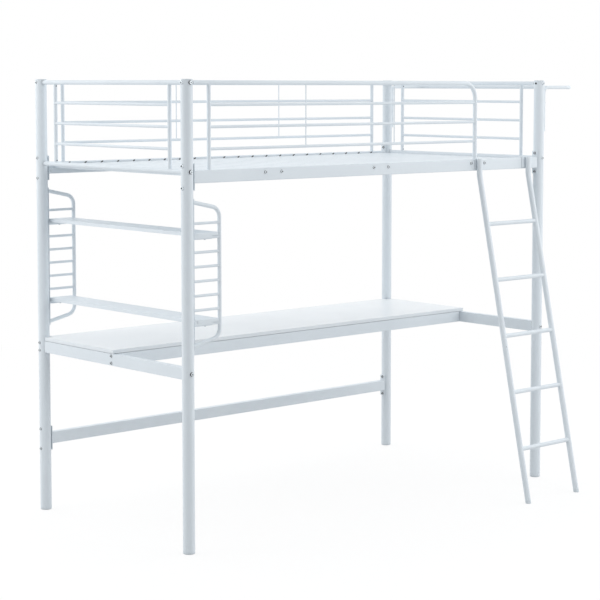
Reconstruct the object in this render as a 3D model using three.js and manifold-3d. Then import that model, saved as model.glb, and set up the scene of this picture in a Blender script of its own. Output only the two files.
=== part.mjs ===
// Steel loft bed with a desk, two shelves, a clothes loop and a hook-on ladder under and beside it.
// Millimetres, +Z up. X runs along the bed, from its left end to its right end. Y runs from the front, where
// the ladder stands, to the rear. The origin is on the floor, at the middle of the whole object's outline.

import * as THREE from 'three';
import { mergeVertices } from 'three/addons/utils/BufferGeometryUtils.js';
import Module from 'manifold-3d';

const wasm = await Module();
wasm.setup();

// Whole object, measured between the centres of the posts
const POST_SPACING_X = 2050;
const POST_SPACING_Y = 1000;
const OVERALL_HEIGHT = 1850;

// Fits
const TOUCH_GAP = 0.3; // between two pieces that touch
const CUT_OVERRUN = 5; // how far a cut runs past what it cuts

// Posts with their plastic caps and feet
const POST_DIAMETER = 48;
const POST_WALL = 1.5;
const CAP_HEIGHT = 3;
const CAP_EDGE = 2;
const FOOT_HEIGHT = 7;
const FOOT_EDGE = 3;
const PLUG_LENGTH = 20;
const SPARE_HOLE_DIAMETER = 9;

// Guard work: the end frames and the two long guards
const TOP_TUBE_DROP = 14; // from the top of a post to the middle of the top tube
const GUARD_TUBE_DIAMETER = 19;
const GUARD_TUBE_WALL = 1.2;
const UPRIGHT_DIAMETER = 16;
const UPRIGHT_INSET = 108; // from the middle of a post to the middle of the nearest upright
const BAR_DIAMETER = 12;
const BAR_COUNT = 3;
const LOW_TUBE_DROP = 5; // from the top of the side rails to the middle of an end frame's lower tube
const SPREADER_DIAMETER = 5;
const SPREADER_COUNT = 2;
const GUARD_BEND_RADIUS = 68;
const LADDER_OPENING = 432; // from the middle of the guard's end tube to the middle of the right front post

// Side rails, their end plates and the ledges that carry the slats
const GUARD_RISE = 351; // from the top of the side rails to the top of the posts
const RAIL_HEIGHT = 50;
const RAIL_THICKNESS = 30;
const RAIL_WALL = 1.5;
const END_PLATE_HEIGHT = 104;
const END_PLATE_THICKNESS = 3;
const END_PLATE_VENT = 14;
const LEDGE_WIDTH = 22;
const LEDGE_THICKNESS = 3;

// Slats
const SLAT_COUNT = 23;
const SLAT_END_MARGIN = 84.5; // from the middle of a post to the middle of the nearest slat
const SLAT_WIDTH = 66;
const SLAT_HEIGHT = 16;
const SLAT_SHEET = 0.9;
const SLAT_END_CLEARANCE = 4;
const SLAT_SINK = 9; // top of the slats below the top of the side rails

// Cross supports under three of the slats
const SUPPORT_SLATS = [4, 11, 18]; // counted from the left end, starting at 0
const SUPPORT_TUBE = 26;
const SUPPORT_WALL = 1.5;
const SUPPORT_PLATE_THICKNESS = 2.5;
const SUPPORT_PLATE_MARGIN = 10; // plate past the middle of its bolt
const SUPPORT_EAR_WIDTH = 24;
const SUPPORT_EAR_DROP = 7; // top of the ears below the top of the side rail
const SUPPORT_PLATE_DROP = 3; // plate below the tube
const SUPPORT_LIP_THICKNESS = 3; // of the lip that carries the slat's end
const SUPPORT_VENT = 10;
const LEDGE_BREAK = 2; // gap between a ledge and a support's plate

// Desk
const DESK_HEADROOM = 748; // from the top of the board to the top of the side rails
const DESK_BOARD_THICKNESS = 15;
const DESK_DEPTH = 520;
const DESK_RAIL_HEIGHT = 50;
const DESK_RAIL_THICKNESS = 25;
const DESK_RAIL_WALL = 1.5;
const BOARD_NOTCH_CLEARANCE = 2;

// Lower rear stretcher
const STRETCHER_TOP = 335;

// Shelf racks on the two left posts
const RACK_HEAD_CLEARANCE = 32; // between a side rail's end plate and the rack's strip
const RACK_DESK_CLEARANCE = 49; // between the top of the board and the rack's strip
const RACK_TUBE_DIAMETER = 16;
const RACK_TUBE_WALL = 1.2;
const RACK_REACH = 158; // from the middle of the post to the middle of the outer tube
const RACK_ARM_DROP = 29; // how far an arm leans in over its length
const RACK_BEND_RADIUS = 42;
const RACK_STRIP_WIDTH = 20;
const RACK_STRIP_THICKNESS = 3;
const RACK_STRIP_OVERHANG = 14;
const RACK_RUNG_DIAMETER = 11;
const RACK_RUNG_COUNT = 8;
const RACK_RUNG_MARGIN = 83.25; // from an arm, at the post, to the nearest rung

// Shelves
const SHELF_RUNGS = { upper_shelf: 1, lower_shelf: 7 }; // counted from the top rung, starting at 0
const SHELF_THICKNESS = 14;
const SHELF_SHEET = 1.2;
const SHELF_SIDE_CLEARANCE = 2;
const SHELF_END_OVERHANG = 8; // past the middle of the rung that carries it
const SHELF_NOTCH_WIDTH = 12; // of the skirt cut away beside each post, across the shelf
const SHELF_NOTCH_LENGTH = 22;

// Clothes loop on the right end
const LOOP_TUBE_DIAMETER = 16;
const LOOP_TUBE_WALL = 1.2;
const LOOP_REACH = 240; // from the middle of a post to the middle of the outer bar
const LOOP_DROP = 32; // from the top of a post to the middle of the loop
const LOOP_LEG_LENGTH = 202;
const LOOP_LEG_BEND = 24;
const LOOP_CORNER_RADIUS = 40;

// Ladder
const LADDER_STILE_DIAMETER = 25;
const LADDER_STILE_WALL = 1.5;
const LADDER_WIDTH = 326; // between the middles of the stiles
const LADDER_KNEE_DROP = 69; // from the top of the side rail to the knee
const LADDER_LEAN = 307.5; // how far the feet stand in front of the knee
const LADDER_TOP_RISE = 3; // stile above the side rail
const LADDER_KNEE_RADIUS = 90;
const LADDER_RUNG_DIAMETER = 19;
const LADDER_RUNG_WALL = 1.2;
const LADDER_RUNG_COUNT = 5;
const LADDER_FIRST_RUNG = 233;
const LADDER_TOP_RUNG_DROP = 217; // from the knee to the top rung
const LADDER_FOOT_LENGTH = 12;
const HOOK_THICKNESS = 3;
const HOOK_OUTER_REACH = 18; // from the middle of a stile to the hook's outer edge
const HOOK_INNER_REACH = 28; // from the middle of a stile to the hook's inner edge
const HOOK_TONGUE_CLEARANCE = 2; // between the guard's end tube and the tongue over the rail
const HOOK_FRONT_LENGTH = 46;
const HOOK_REAR_LENGTH = 23;

// Facets of the round pieces, and rings in a bend
const POST_SIDES = 24;
const TUBE_SIDES = 16;
const SMALL_TUBE_SIDES = 12;
const BAR_SIDES = 12;
const SPREADER_SIDES = 8;
const HOLE_SIDES = 12;
const BEND_STEP = Math.PI / 12; // the most that a bent tube turns from one ring to the next
const LEAST_BEND_RINGS = 2;
const EDGE_STEPS = 2;

// Sizes that follow from the ones above
const postRadius = POST_DIAMETER / 2;
const postBore = postRadius - POST_WALL;
const besidePost = postRadius + TOUCH_GAP; // from the middle of a post to a piece that touches it
const sideRailTop = OVERALL_HEIGHT - GUARD_RISE;
const topTubeHeight = OVERALL_HEIGHT - TOP_TUBE_DROP;
const lowTubeHeight = sideRailTop - LOW_TUBE_DROP;
const barPitch = (topTubeHeight - lowTubeHeight) / (BAR_COUNT + 1);
const lowestBarHeight = lowTubeHeight + barPitch;
const railHalf = RAIL_THICKNESS / 2;
const guardFootHeight = sideRailTop + TOUCH_GAP;
const guardEndX = POST_SPACING_X - LADDER_OPENING;
const slatTop = sideRailTop - SLAT_SINK;
const slatBottom = slatTop - SLAT_HEIGHT;
const seatHeight = slatBottom - TOUCH_GAP; // top of what the slats lie on
const slatPitch = (POST_SPACING_X - 2 * SLAT_END_MARGIN) / (SLAT_COUNT - 1);
const supportHalf = slatPitch / 2 + SUPPORT_PLATE_MARGIN;
const deskHalf = DESK_RAIL_THICKNESS / 2;
const deskTop = sideRailTop - DESK_HEADROOM;
const deskRailTop = deskTop - DESK_BOARD_THICKNESS - TOUCH_GAP;
const deskFrontY = POST_SPACING_Y - DESK_DEPTH;
const rackInnerX = besidePost + RACK_STRIP_THICKNESS;
const endPlateLow = sideRailTop - (RAIL_HEIGHT + END_PLATE_HEIGHT) / 2;
const rackStripTop = endPlateLow - RACK_HEAD_CLEARANCE;
const rackStripLow = deskTop + RACK_DESK_CLEARANCE;
const rackArmTop = rackStripTop - RACK_STRIP_OVERHANG;
const rackArmLow = rackStripLow + RACK_STRIP_OVERHANG;
const topRungHeight = rackArmTop - RACK_RUNG_MARGIN;
const rackRungPitch = (topRungHeight - rackArmLow - RACK_RUNG_MARGIN) / (RACK_RUNG_COUNT - 1);
const ladderLeftX = guardEndX; // the left stile stands in line with the guard's end tube
const stileRadius = LADDER_STILE_DIAMETER / 2;
const hookFrontY = -railHalf - TOUCH_GAP - HOOK_THICKNESS;
const stileY = hookFrontY - TOUCH_GAP - stileRadius;
const kneeHeight = sideRailTop - LADDER_KNEE_DROP;
const rungRun = kneeHeight - LADDER_TOP_RUNG_DROP - LADDER_FIRST_RUNG;
const ladderRungPitch = rungRun / (LADDER_RUNG_COUNT - 1);
const ladderAngle = Math.atan(LADDER_LEAN / kneeHeight);
const footY = stileY - LADDER_LEAN;
const loopRadius = LOOP_TUBE_DIAMETER / 2;

// Finishes
const powderCoat = new THREE.MeshStandardMaterial({ color: 0xdfe5ea, roughness: 0.45, metalness: 0.1 });
const whiteBoard = new THREE.MeshStandardMaterial({ color: 0xf1f4f6, roughness: 0.5, metalness: 0 });
const whitePlastic = new THREE.MeshStandardMaterial({ color: 0xd3d9dd, roughness: 0.6, metalness: 0 });

// A closed three.js geometry as a solid that can be joined and cut
function solidOf(geometry) {
  const bare = geometry.clone();
  bare.deleteAttribute('normal');
  bare.deleteAttribute('uv');
  const merged = mergeVertices(bare);
  const mesh = new wasm.Mesh({
    numProp: 3,
    vertProperties: new Float32Array(merged.attributes.position.array),
    triVerts: new Uint32Array(merged.index.array),
  });
  return new wasm.Manifold(mesh);
}

function geometryOf(solid) {
  const mesh = solid.getMesh();
  const geometry = new THREE.BufferGeometry();
  geometry.setAttribute('position', new THREE.BufferAttribute(new Float32Array(mesh.vertProperties), 3));
  geometry.setIndex(new THREE.BufferAttribute(new Uint32Array(mesh.triVerts), 1));
  geometry.computeVertexNormals();
  return geometry;
}

function joined(solids) {
  return solids.reduce((sum, solid) => sum.add(solid));
}

function cut(solid, tools) {
  return tools.reduce((rest, tool) => rest.subtract(tool), solid);
}

// A box between two opposite corners, whose faces lie exactly where the same values put another box's faces
function block(cornerA, cornerB) {
  const { min, max } = new THREE.Box3().setFromPoints([cornerA, cornerB]);
  const geometry = new THREE.BoxGeometry(1, 1, 1);
  const place = geometry.attributes.position;
  for (let i = 0; i < place.count; i += 1) {
    const x = place.getX(i) < 0 ? min.x : max.x;
    const y = place.getY(i) < 0 ? min.y : max.y;
    const z = place.getZ(i) < 0 ? min.z : max.z;
    place.setXYZ(i, x, y, z);
  }
  return solidOf(geometry);
}

function point(x, y, z) {
  return new THREE.Vector3(x, y, z);
}

function rod(from, to, diameter, sides) {
  const along = new THREE.Vector3().subVectors(to, from);
  const middle = new THREE.Vector3().addVectors(from, to).multiplyScalar(1 / 2);
  const geometry = new THREE.CylinderGeometry(diameter / 2, diameter / 2, along.length(), sides);
  geometry.applyQuaternion(new THREE.Quaternion().setFromUnitVectors(point(0, 1, 0), along.normalize()));
  geometry.translate(middle.x, middle.y, middle.z);
  return solidOf(geometry);
}

// A path of straight runs joined by round bends, with one ring of the tube at each of its points
class BentPath extends THREE.Curve {
  constructor(corners, radii) {
    super();
    this.points = [];
    this.directions = [];
    const last = corners.length - 1;
    const runs = corners.slice(1).map((corner, i) => corner.clone().sub(corners[i]).normalize());
    this.addRing(corners[0], runs[0]);
    for (let i = 1; i < last; i += 1) {
      this.addBend(corners[i], runs[i - 1], runs[i], radii[i - 1]);
    }
    this.addRing(corners[last], runs[last - 1]);
  }

  addRing(place, direction) {
    this.points.push(place.clone());
    this.directions.push(direction.clone());
  }

  addBend(corner, before, after, radius) {
    const turn = before.angleTo(after);
    const axis = new THREE.Vector3().crossVectors(before, after).normalize();
    const start = corner.clone().addScaledVector(before, -radius * Math.tan(turn / 2));
    const inward = new THREE.Vector3().crossVectors(axis, before);
    const centre = start.clone().addScaledVector(inward, radius);
    const rings = Math.max(LEAST_BEND_RINGS, Math.round(turn / BEND_STEP));
    for (let i = 0; i <= rings; i += 1) {
      const angle = turn * i / rings;
      const arm = new THREE.Vector3().subVectors(start, centre).applyAxisAngle(axis, angle);
      this.addRing(centre.clone().add(arm), before.clone().applyAxisAngle(axis, angle));
    }
  }

  getPoint(t, target = new THREE.Vector3()) {
    return target.copy(this.points[Math.round(t * (this.points.length - 1))]);
  }

  getPointAt(u, target) {
    return this.getPoint(u, target);
  }

  getTangentAt(u, target = new THREE.Vector3()) {
    return target.copy(this.directions[Math.round(u * (this.directions.length - 1))]);
  }
}

function sweep(corners, radii, diameter, sides) {
  const path = new BentPath(corners, radii);
  const section = new THREE.Shape();
  const ring = [];
  for (let i = 0; i < sides; i += 1) {
    const angle = 2 * Math.PI * i / sides;
    ring.push(new THREE.Vector2(Math.cos(angle), Math.sin(angle)).multiplyScalar(diameter / 2));
  }
  section.setFromPoints(ring);
  const steps = path.points.length - 1;
  return solidOf(new THREE.ExtrudeGeometry(section, { steps, extrudePath: path }));
}

// The same corners with both ends moved outward, for a bore that runs out of its tube
function lengthened(corners, extra) {
  const longer = corners.map((corner) => corner.clone());
  const last = corners.length - 1;
  const start = new THREE.Vector3().subVectors(corners[0], corners[1]).normalize();
  const end = new THREE.Vector3().subVectors(corners[last], corners[last - 1]).normalize();
  longer[0].addScaledVector(start, extra);
  longer[last].addScaledVector(end, extra);
  return longer;
}

// The room that a post needs inside a piece whose end fits against it
function postRoom(x, y) {
  const below = point(x, y, -CUT_OVERRUN);
  const above = point(x, y, OVERALL_HEIGHT + CUT_OVERRUN);
  return rod(below, above, 2 * besidePost, POST_SIDES);
}

// A round solid turned about an upright axis, from points given as distance from the axis and height
function lathed(profile, sides) {
  const geometry = new THREE.LatheGeometry(profile, sides);
  geometry.rotateX(Math.PI / 2);
  return geometry;
}

// Posts, caps and feet
const tubeBottom = FOOT_HEIGHT + TOUCH_GAP;
const tubeTop = OVERALL_HEIGHT - CAP_HEIGHT - TOUCH_GAP;

function postTube() {
  const bottom = point(0, 0, tubeBottom);
  const top = point(0, 0, tubeTop);
  const outer = rod(bottom, top, POST_DIAMETER, POST_SIDES);
  const [boreBottom, boreTop] = lengthened([bottom, top], CUT_OVERRUN);
  return cut(outer, [rod(boreBottom, boreTop, 2 * postBore, POST_SIDES)]);
}

// The right front post keeps an open bolt hole where the guard would meet it in a mirrored build
function postTubeWithSpareHole() {
  const inside = point(0, 0, topTubeHeight);
  const outside = point(-postRadius - CUT_OVERRUN, 0, topTubeHeight);
  return cut(postTube(), [rod(inside, outside, SPARE_HOLE_DIAMETER, HOLE_SIDES)]);
}

// A round plastic plug, as wide as the post below its rim and a push fit in the post above it. A foot stands
// this way up, and a cap is turned over.
function postPlug(rimHeight, edge) {
  const plugRadius = postBore - TOUCH_GAP;
  const rounded = Array.from({ length: EDGE_STEPS + 1 }, (_, i) => {
    const angle = (Math.PI / 2) * (i / EDGE_STEPS);
    return new THREE.Vector2(postRadius - edge + edge * Math.sin(angle), edge - edge * Math.cos(angle));
  });
  const profile = [
    new THREE.Vector2(0, 0),
    ...rounded,
    new THREE.Vector2(postRadius, rimHeight),
    new THREE.Vector2(plugRadius, rimHeight),
    new THREE.Vector2(plugRadius, rimHeight + PLUG_LENGTH),
    new THREE.Vector2(0, rimHeight + PLUG_LENGTH),
  ];
  return lathed(profile, POST_SIDES);
}

// Guard work
function barHeights() {
  return Array.from({ length: BAR_COUNT }, (_, i) => topTubeHeight - (i + 1) * barPitch);
}

// The two crosswise tubes of an end frame, or the bores inside them
function endFrameTubes(diameter) {
  return [topTubeHeight, lowTubeHeight].map((z) => (
    rod(point(0, 0, z), point(0, POST_SPACING_Y, z), diameter, TUBE_SIDES)));
}

function endFrame() {
  const near = UPRIGHT_INSET;
  const far = POST_SPACING_Y - UPRIGHT_INSET;
  const tubes = endFrameTubes(GUARD_TUBE_DIAMETER);
  const bores = endFrameTubes(GUARD_TUBE_DIAMETER - 2 * GUARD_TUBE_WALL);
  const uprights = [near, far].map((y) => rod(
    point(0, y, lowTubeHeight), point(0, y, topTubeHeight), UPRIGHT_DIAMETER, SMALL_TUBE_SIDES));
  const bars = barHeights().map((z) => rod(point(0, near, z), point(0, far, z), BAR_DIAMETER, BAR_SIDES));
  const rooms = [postRoom(0, 0), postRoom(0, POST_SPACING_Y)];
  return cut(joined([...tubes, ...uprights, ...bars]), [...bores, ...rooms]);
}

// Bars and thin spreaders between two uprights of a long guard, in the plane y = 0
function guardInfill(fromX, toX) {
  const bars = barHeights().map((z) => rod(point(fromX, 0, z), point(toX, 0, z), BAR_DIAMETER, BAR_SIDES));
  const spreaders = Array.from({ length: SPREADER_COUNT }, (_, i) => {
    const x = fromX + (toX - fromX) * (i + 1) / (SPREADER_COUNT + 1);
    return rod(point(x, 0, lowestBarHeight), point(x, 0, topTubeHeight), SPREADER_DIAMETER, SPREADER_SIDES);
  });
  return [...bars, ...spreaders];
}

function guardUpright(x) {
  return rod(point(x, 0, guardFootHeight), point(x, 0, topTubeHeight), UPRIGHT_DIAMETER, SMALL_TUBE_SIDES);
}

function frontGuard() {
  const corners = [
    point(0, 0, topTubeHeight),
    point(guardEndX, 0, topTubeHeight),
    point(guardEndX, 0, guardFootHeight),
  ];
  const radii = [GUARD_BEND_RADIUS];
  const boreDiameter = GUARD_TUBE_DIAMETER - 2 * GUARD_TUBE_WALL;
  const tube = sweep(corners, radii, GUARD_TUBE_DIAMETER, TUBE_SIDES);
  const bore = sweep(lengthened(corners, CUT_OVERRUN), radii, boreDiameter, TUBE_SIDES);
  const pieces = [tube, guardUpright(UPRIGHT_INSET), ...guardInfill(UPRIGHT_INSET, guardEndX)];
  return cut(joined(pieces), [bore, postRoom(0, 0)]);
}

function rearGuard() {
  const start = point(0, 0, topTubeHeight);
  const end = point(POST_SPACING_X, 0, topTubeHeight);
  const farX = POST_SPACING_X - UPRIGHT_INSET;
  const tube = rod(start, end, GUARD_TUBE_DIAMETER, TUBE_SIDES);
  const bore = rod(start, end, GUARD_TUBE_DIAMETER - 2 * GUARD_TUBE_WALL, TUBE_SIDES);
  const uprights = [UPRIGHT_INSET, farX].map((x) => guardUpright(x));
  const pieces = [tube, ...uprights, ...guardInfill(UPRIGHT_INSET, farX)];
  return cut(joined(pieces), [bore, postRoom(0, 0), postRoom(POST_SPACING_X, 0)]);
}

// A rectangular tube along X between the posts, with an upright plate at each end
function platedRail(top) {
  const low = top - RAIL_HEIGHT;
  const middle = (top + low) / 2;
  const plateOuter = besidePost;
  const plateInner = besidePost + END_PLATE_THICKNESS;
  const farInner = POST_SPACING_X - plateInner;
  const farOuter = POST_SPACING_X - plateOuter;
  const plateLow = middle - END_PLATE_HEIGHT / 2;
  const plateHigh = middle + END_PLATE_HEIGHT / 2;
  const tube = block(point(plateOuter, -railHalf, low), point(farOuter, railHalf, top));
  const hollow = block(
    point(plateInner, -railHalf + RAIL_WALL, low + RAIL_WALL),
    point(farInner, railHalf - RAIL_WALL, top - RAIL_WALL));
  const plates = [
    block(point(plateOuter, -railHalf, plateLow), point(plateInner, railHalf, plateHigh)),
    block(point(farInner, -railHalf, plateLow), point(farOuter, railHalf, plateHigh)),
  ];
  const ventStart = point(plateOuter - CUT_OVERRUN, 0, middle);
  const ventEnd = point(farOuter + CUT_OVERRUN, 0, middle);
  const vent = rod(ventStart, ventEnd, END_PLATE_VENT, HOLE_SIDES);
  return cut(joined([tube, ...plates]), [hollow, vent]);
}

function slatX(index) {
  return SLAT_END_MARGIN + index * slatPitch;
}

// Ledges on the inner face of a side rail, broken where a cross support's plate is bolted on
function ledges() {
  const breaks = SUPPORT_SLATS.map((index) => slatX(index));
  const margin = supportHalf + LEDGE_BREAK;
  const start = besidePost + END_PLATE_THICKNESS;
  const starts = [start, ...breaks.map((x) => x + margin)];
  const ends = [...breaks.map((x) => x - margin), POST_SPACING_X - start];
  return starts.map((x, i) => block(
    point(x, railHalf - RAIL_WALL, seatHeight - LEDGE_THICKNESS),
    point(ends[i], railHalf + LEDGE_WIDTH, seatHeight)));
}

function sideRail() {
  return joined([platedRail(sideRailTop), ...ledges()]);
}

// Slat: a steel channel, open below, across the bed
function slat() {
  const half = SLAT_WIDTH / 2;
  const start = railHalf + SLAT_END_CLEARANCE;
  const end = POST_SPACING_Y - start;
  const outer = block(point(-half, start, slatBottom), point(half, end, slatTop));
  const hollow = block(
    point(-half + SLAT_SHEET, start - CUT_OVERRUN, slatBottom - CUT_OVERRUN),
    point(half - SLAT_SHEET, end + CUT_OVERRUN, slatTop - SLAT_SHEET));
  return cut(outer, [hollow]);
}

// Cross support: a square tube across the bed. The bracket at each end is a plate with two ears for its
// bolts, and a lip that carries the end of the slat above.
function crossSupport() {
  const tubeHalf = SUPPORT_TUBE / 2;
  const plateFace = railHalf + TOUCH_GAP;
  const plateBack = plateFace + SUPPORT_PLATE_THICKNESS;
  const lipEnd = railHalf + LEDGE_WIDTH;
  const lipBottom = seatHeight - SUPPORT_LIP_THICKNESS;
  const tubeTop = seatHeight - SUPPORT_LIP_THICKNESS / 2;
  const tubeLow = tubeTop - SUPPORT_TUBE;
  const plateLow = tubeLow - SUPPORT_PLATE_DROP;
  const earTop = sideRailTop - SUPPORT_EAR_DROP;
  const earInner = supportHalf - SUPPORT_EAR_WIDTH;
  const far = (y) => POST_SPACING_Y - y;
  const tube = block(point(-tubeHalf, plateFace, tubeLow), point(tubeHalf, far(plateFace), tubeTop));
  const hollow = block(
    point(-tubeHalf + SUPPORT_WALL, plateBack, tubeLow + SUPPORT_WALL),
    point(tubeHalf - SUPPORT_WALL, far(plateBack), tubeTop - SUPPORT_WALL));
  const brackets = [[plateFace, plateBack, lipEnd], [far(plateFace), far(plateBack), far(lipEnd)]];
  const plates = brackets.flatMap(([face, back, lip]) => [
    block(point(-supportHalf, face, plateLow), point(supportHalf, back, tubeTop)),
    block(point(-supportHalf, face, plateLow), point(-earInner, back, earTop)),
    block(point(earInner, face, plateLow), point(supportHalf, back, earTop)),
    block(point(-supportHalf, face, lipBottom), point(supportHalf, lip, seatHeight)),
  ]);
  const ventHeight = tubeLow + tubeHalf;
  const ventStart = point(0, plateFace - CUT_OVERRUN, ventHeight);
  const ventEnd = point(0, far(plateFace) + CUT_OVERRUN, ventHeight);
  const vent = rod(ventStart, ventEnd, SUPPORT_VENT, HOLE_SIDES);
  return cut(joined([tube, ...plates]), [hollow, vent]);
}

// Desk
// A rectangular tube between two opposite corners, open at both ends. along is the direction of its length.
function deskTube(low, high, along) {
  const inset = point(DESK_RAIL_WALL, DESK_RAIL_WALL, DESK_RAIL_WALL);
  inset.addScaledVector(along, -DESK_RAIL_WALL - CUT_OVERRUN);
  const hollow = block(low.clone().add(inset), high.clone().sub(inset));
  return cut(block(low, high), [hollow]);
}

function deskEndRail() {
  const low = point(-deskHalf, 0, deskRailTop - DESK_RAIL_HEIGHT);
  const high = point(deskHalf, POST_SPACING_Y, deskRailTop);
  return cut(deskTube(low, high, point(0, 1, 0)), [postRoom(0, 0), postRoom(0, POST_SPACING_Y)]);
}

function deskFrontApron() {
  const endX = deskHalf + TOUCH_GAP;
  const low = point(endX, deskFrontY, deskRailTop - DESK_RAIL_HEIGHT);
  const high = point(POST_SPACING_X - endX, deskFrontY + DESK_RAIL_THICKNESS, deskRailTop);
  return deskTube(low, high, point(1, 0, 0));
}

function deskRearApron() {
  const low = point(0, POST_SPACING_Y - deskHalf, deskRailTop - DESK_RAIL_HEIGHT);
  const high = point(POST_SPACING_X, POST_SPACING_Y + deskHalf, deskRailTop);
  const rooms = [postRoom(0, POST_SPACING_Y), postRoom(POST_SPACING_X, POST_SPACING_Y)];
  return cut(deskTube(low, high, point(1, 0, 0)), rooms);
}

function deskBoard() {
  const bottom = deskTop - DESK_BOARD_THICKNESS;
  const start = point(-deskHalf, deskFrontY, bottom);
  const end = point(POST_SPACING_X + deskHalf, POST_SPACING_Y, deskTop);
  const notch = postRadius + BOARD_NOTCH_CLEARANCE;
  const notchFront = POST_SPACING_Y - notch;
  const under = bottom - CUT_OVERRUN;
  const behind = point(0, POST_SPACING_Y + CUT_OVERRUN, deskTop + CUT_OVERRUN);
  const notches = [
    block(point(notch, notchFront, under), behind.clone().setX(start.x - CUT_OVERRUN)),
    block(point(POST_SPACING_X - notch, notchFront, under), behind.clone().setX(end.x + CUT_OVERRUN)),
  ];
  return cut(block(start, end), notches);
}

// Shelf rack on the right of a post: a strip, a bent tube and its rungs
function shelfRack() {
  const weldX = rackInnerX - RACK_STRIP_THICKNESS / 2;
  const corners = [
    point(weldX, 0, rackArmTop),
    point(RACK_REACH, 0, rackArmTop - RACK_ARM_DROP),
    point(RACK_REACH, 0, rackArmLow + RACK_ARM_DROP),
    point(weldX, 0, rackArmLow),
  ];
  const radii = [RACK_BEND_RADIUS, RACK_BEND_RADIUS];
  const boreCorners = lengthened(corners, CUT_OVERRUN);
  const tube = sweep(corners, radii, RACK_TUBE_DIAMETER, SMALL_TUBE_SIDES);
  const bore = sweep(boreCorners, radii, RACK_TUBE_DIAMETER - 2 * RACK_TUBE_WALL, SMALL_TUBE_SIDES);
  const strip = block(
    point(besidePost, -RACK_STRIP_WIDTH / 2, rackStripLow),
    point(rackInnerX, RACK_STRIP_WIDTH / 2, rackStripTop));
  const rungs = Array.from({ length: RACK_RUNG_COUNT }, (_, i) => {
    const z = topRungHeight - i * rackRungPitch;
    return rod(point(weldX, 0, z), point(RACK_REACH, 0, z), RACK_RUNG_DIAMETER, BAR_SIDES);
  });
  const before = point(0, -RACK_STRIP_WIDTH, rackStripLow - CUT_OVERRUN);
  const after = point(besidePost, RACK_STRIP_WIDTH, rackStripTop + CUT_OVERRUN);
  return cut(joined([strip, tube, ...rungs]), [bore, block(before, after)]);
}

// Shelf: a folded steel tray, open below, whose skirt is cut back at the two corners beside the posts
function shelf() {
  const start = point(rackInnerX + SHELF_SIDE_CLEARANCE, -SHELF_END_OVERHANG, 0);
  const endX = RACK_REACH - RACK_TUBE_DIAMETER / 2 - SHELF_SIDE_CLEARANCE;
  const end = point(endX, POST_SPACING_Y + SHELF_END_OVERHANG, SHELF_THICKNESS);
  const sheet = point(SHELF_SHEET, SHELF_SHEET, SHELF_SHEET);
  const inner = end.clone().sub(sheet);
  const hollow = block(start.clone().add(sheet).setZ(-CUT_OVERRUN), inner);
  const outside = point(start.x - CUT_OVERRUN, 0, -CUT_OVERRUN);
  const cornerX = start.x + SHELF_NOTCH_WIDTH;
  const before = outside.clone().setY(start.y - CUT_OVERRUN);
  const behind = outside.clone().setY(end.y + CUT_OVERRUN);
  const notches = [
    block(before, point(cornerX, start.y + SHELF_NOTCH_LENGTH, inner.z)),
    block(behind, point(cornerX, end.y - SHELF_NOTCH_LENGTH, inner.z)),
  ];
  return cut(block(start, end), [hollow, ...notches]);
}

function shelfHeight(rungIndex) {
  return topRungHeight - rungIndex * rackRungPitch + RACK_RUNG_DIAMETER / 2 + TOUCH_GAP;
}

// Clothes loop: one tube up the right rear post, out, across and back down the right front post
function clothesLoop() {
  const legX = besidePost + loopRadius;
  const height = OVERALL_HEIGHT - LOOP_DROP;
  const legLow = height - LOOP_LEG_LENGTH;
  const corners = [
    point(legX, 0, legLow),
    point(legX, 0, height),
    point(LOOP_REACH, 0, height),
    point(LOOP_REACH, POST_SPACING_Y, height),
    point(legX, POST_SPACING_Y, height),
    point(legX, POST_SPACING_Y, legLow),
  ];
  const radii = [LOOP_LEG_BEND, LOOP_CORNER_RADIUS, LOOP_CORNER_RADIUS, LOOP_LEG_BEND];
  const boreCorners = lengthened(corners, CUT_OVERRUN);
  const tube = sweep(corners, radii, LOOP_TUBE_DIAMETER, SMALL_TUBE_SIDES);
  const bore = sweep(boreCorners, radii, LOOP_TUBE_DIAMETER - 2 * LOOP_TUBE_WALL, SMALL_TUBE_SIDES);
  return cut(tube, [bore]);
}

// Ladder, drawn with its left stile at x = 0
function placeOnLean(x, height) {
  return point(x, footY + LADDER_LEAN * height / kneeHeight, height);
}

function stileCorners(x) {
  const along = point(0, Math.sin(ladderAngle), Math.cos(ladderAngle));
  const bottom = point(x, footY, 0).addScaledVector(along, LADDER_FOOT_LENGTH);
  return [point(x, stileY, sideRailTop + LADDER_TOP_RISE), point(x, stileY, kneeHeight), bottom];
}

function ladderFrame() {
  const radii = [LADDER_KNEE_RADIUS];
  const stileBore = LADDER_STILE_DIAMETER - 2 * LADDER_STILE_WALL;
  const rungBore = LADDER_RUNG_DIAMETER - 2 * LADDER_RUNG_WALL;
  const stiles = [0, LADDER_WIDTH].map((x) => stileCorners(x));
  const rungs = Array.from({ length: LADDER_RUNG_COUNT }, (_, i) => {
    const height = LADDER_FIRST_RUNG + i * ladderRungPitch;
    return [placeOnLean(0, height), placeOnLean(LADDER_WIDTH, height)];
  });
  const tubes = [
    ...stiles.map((corners) => sweep(corners, radii, LADDER_STILE_DIAMETER, TUBE_SIDES)),
    ...rungs.map(([left, right]) => rod(left, right, LADDER_RUNG_DIAMETER, SMALL_TUBE_SIDES)),
  ];
  const bores = [
    ...stiles.map((corners) => sweep(lengthened(corners, CUT_OVERRUN), radii, stileBore, TUBE_SIDES)),
    ...rungs.map(([left, right]) => rod(left, right, rungBore, SMALL_TUBE_SIDES)),
  ];
  return cut(joined(tubes), bores);
}

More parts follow.
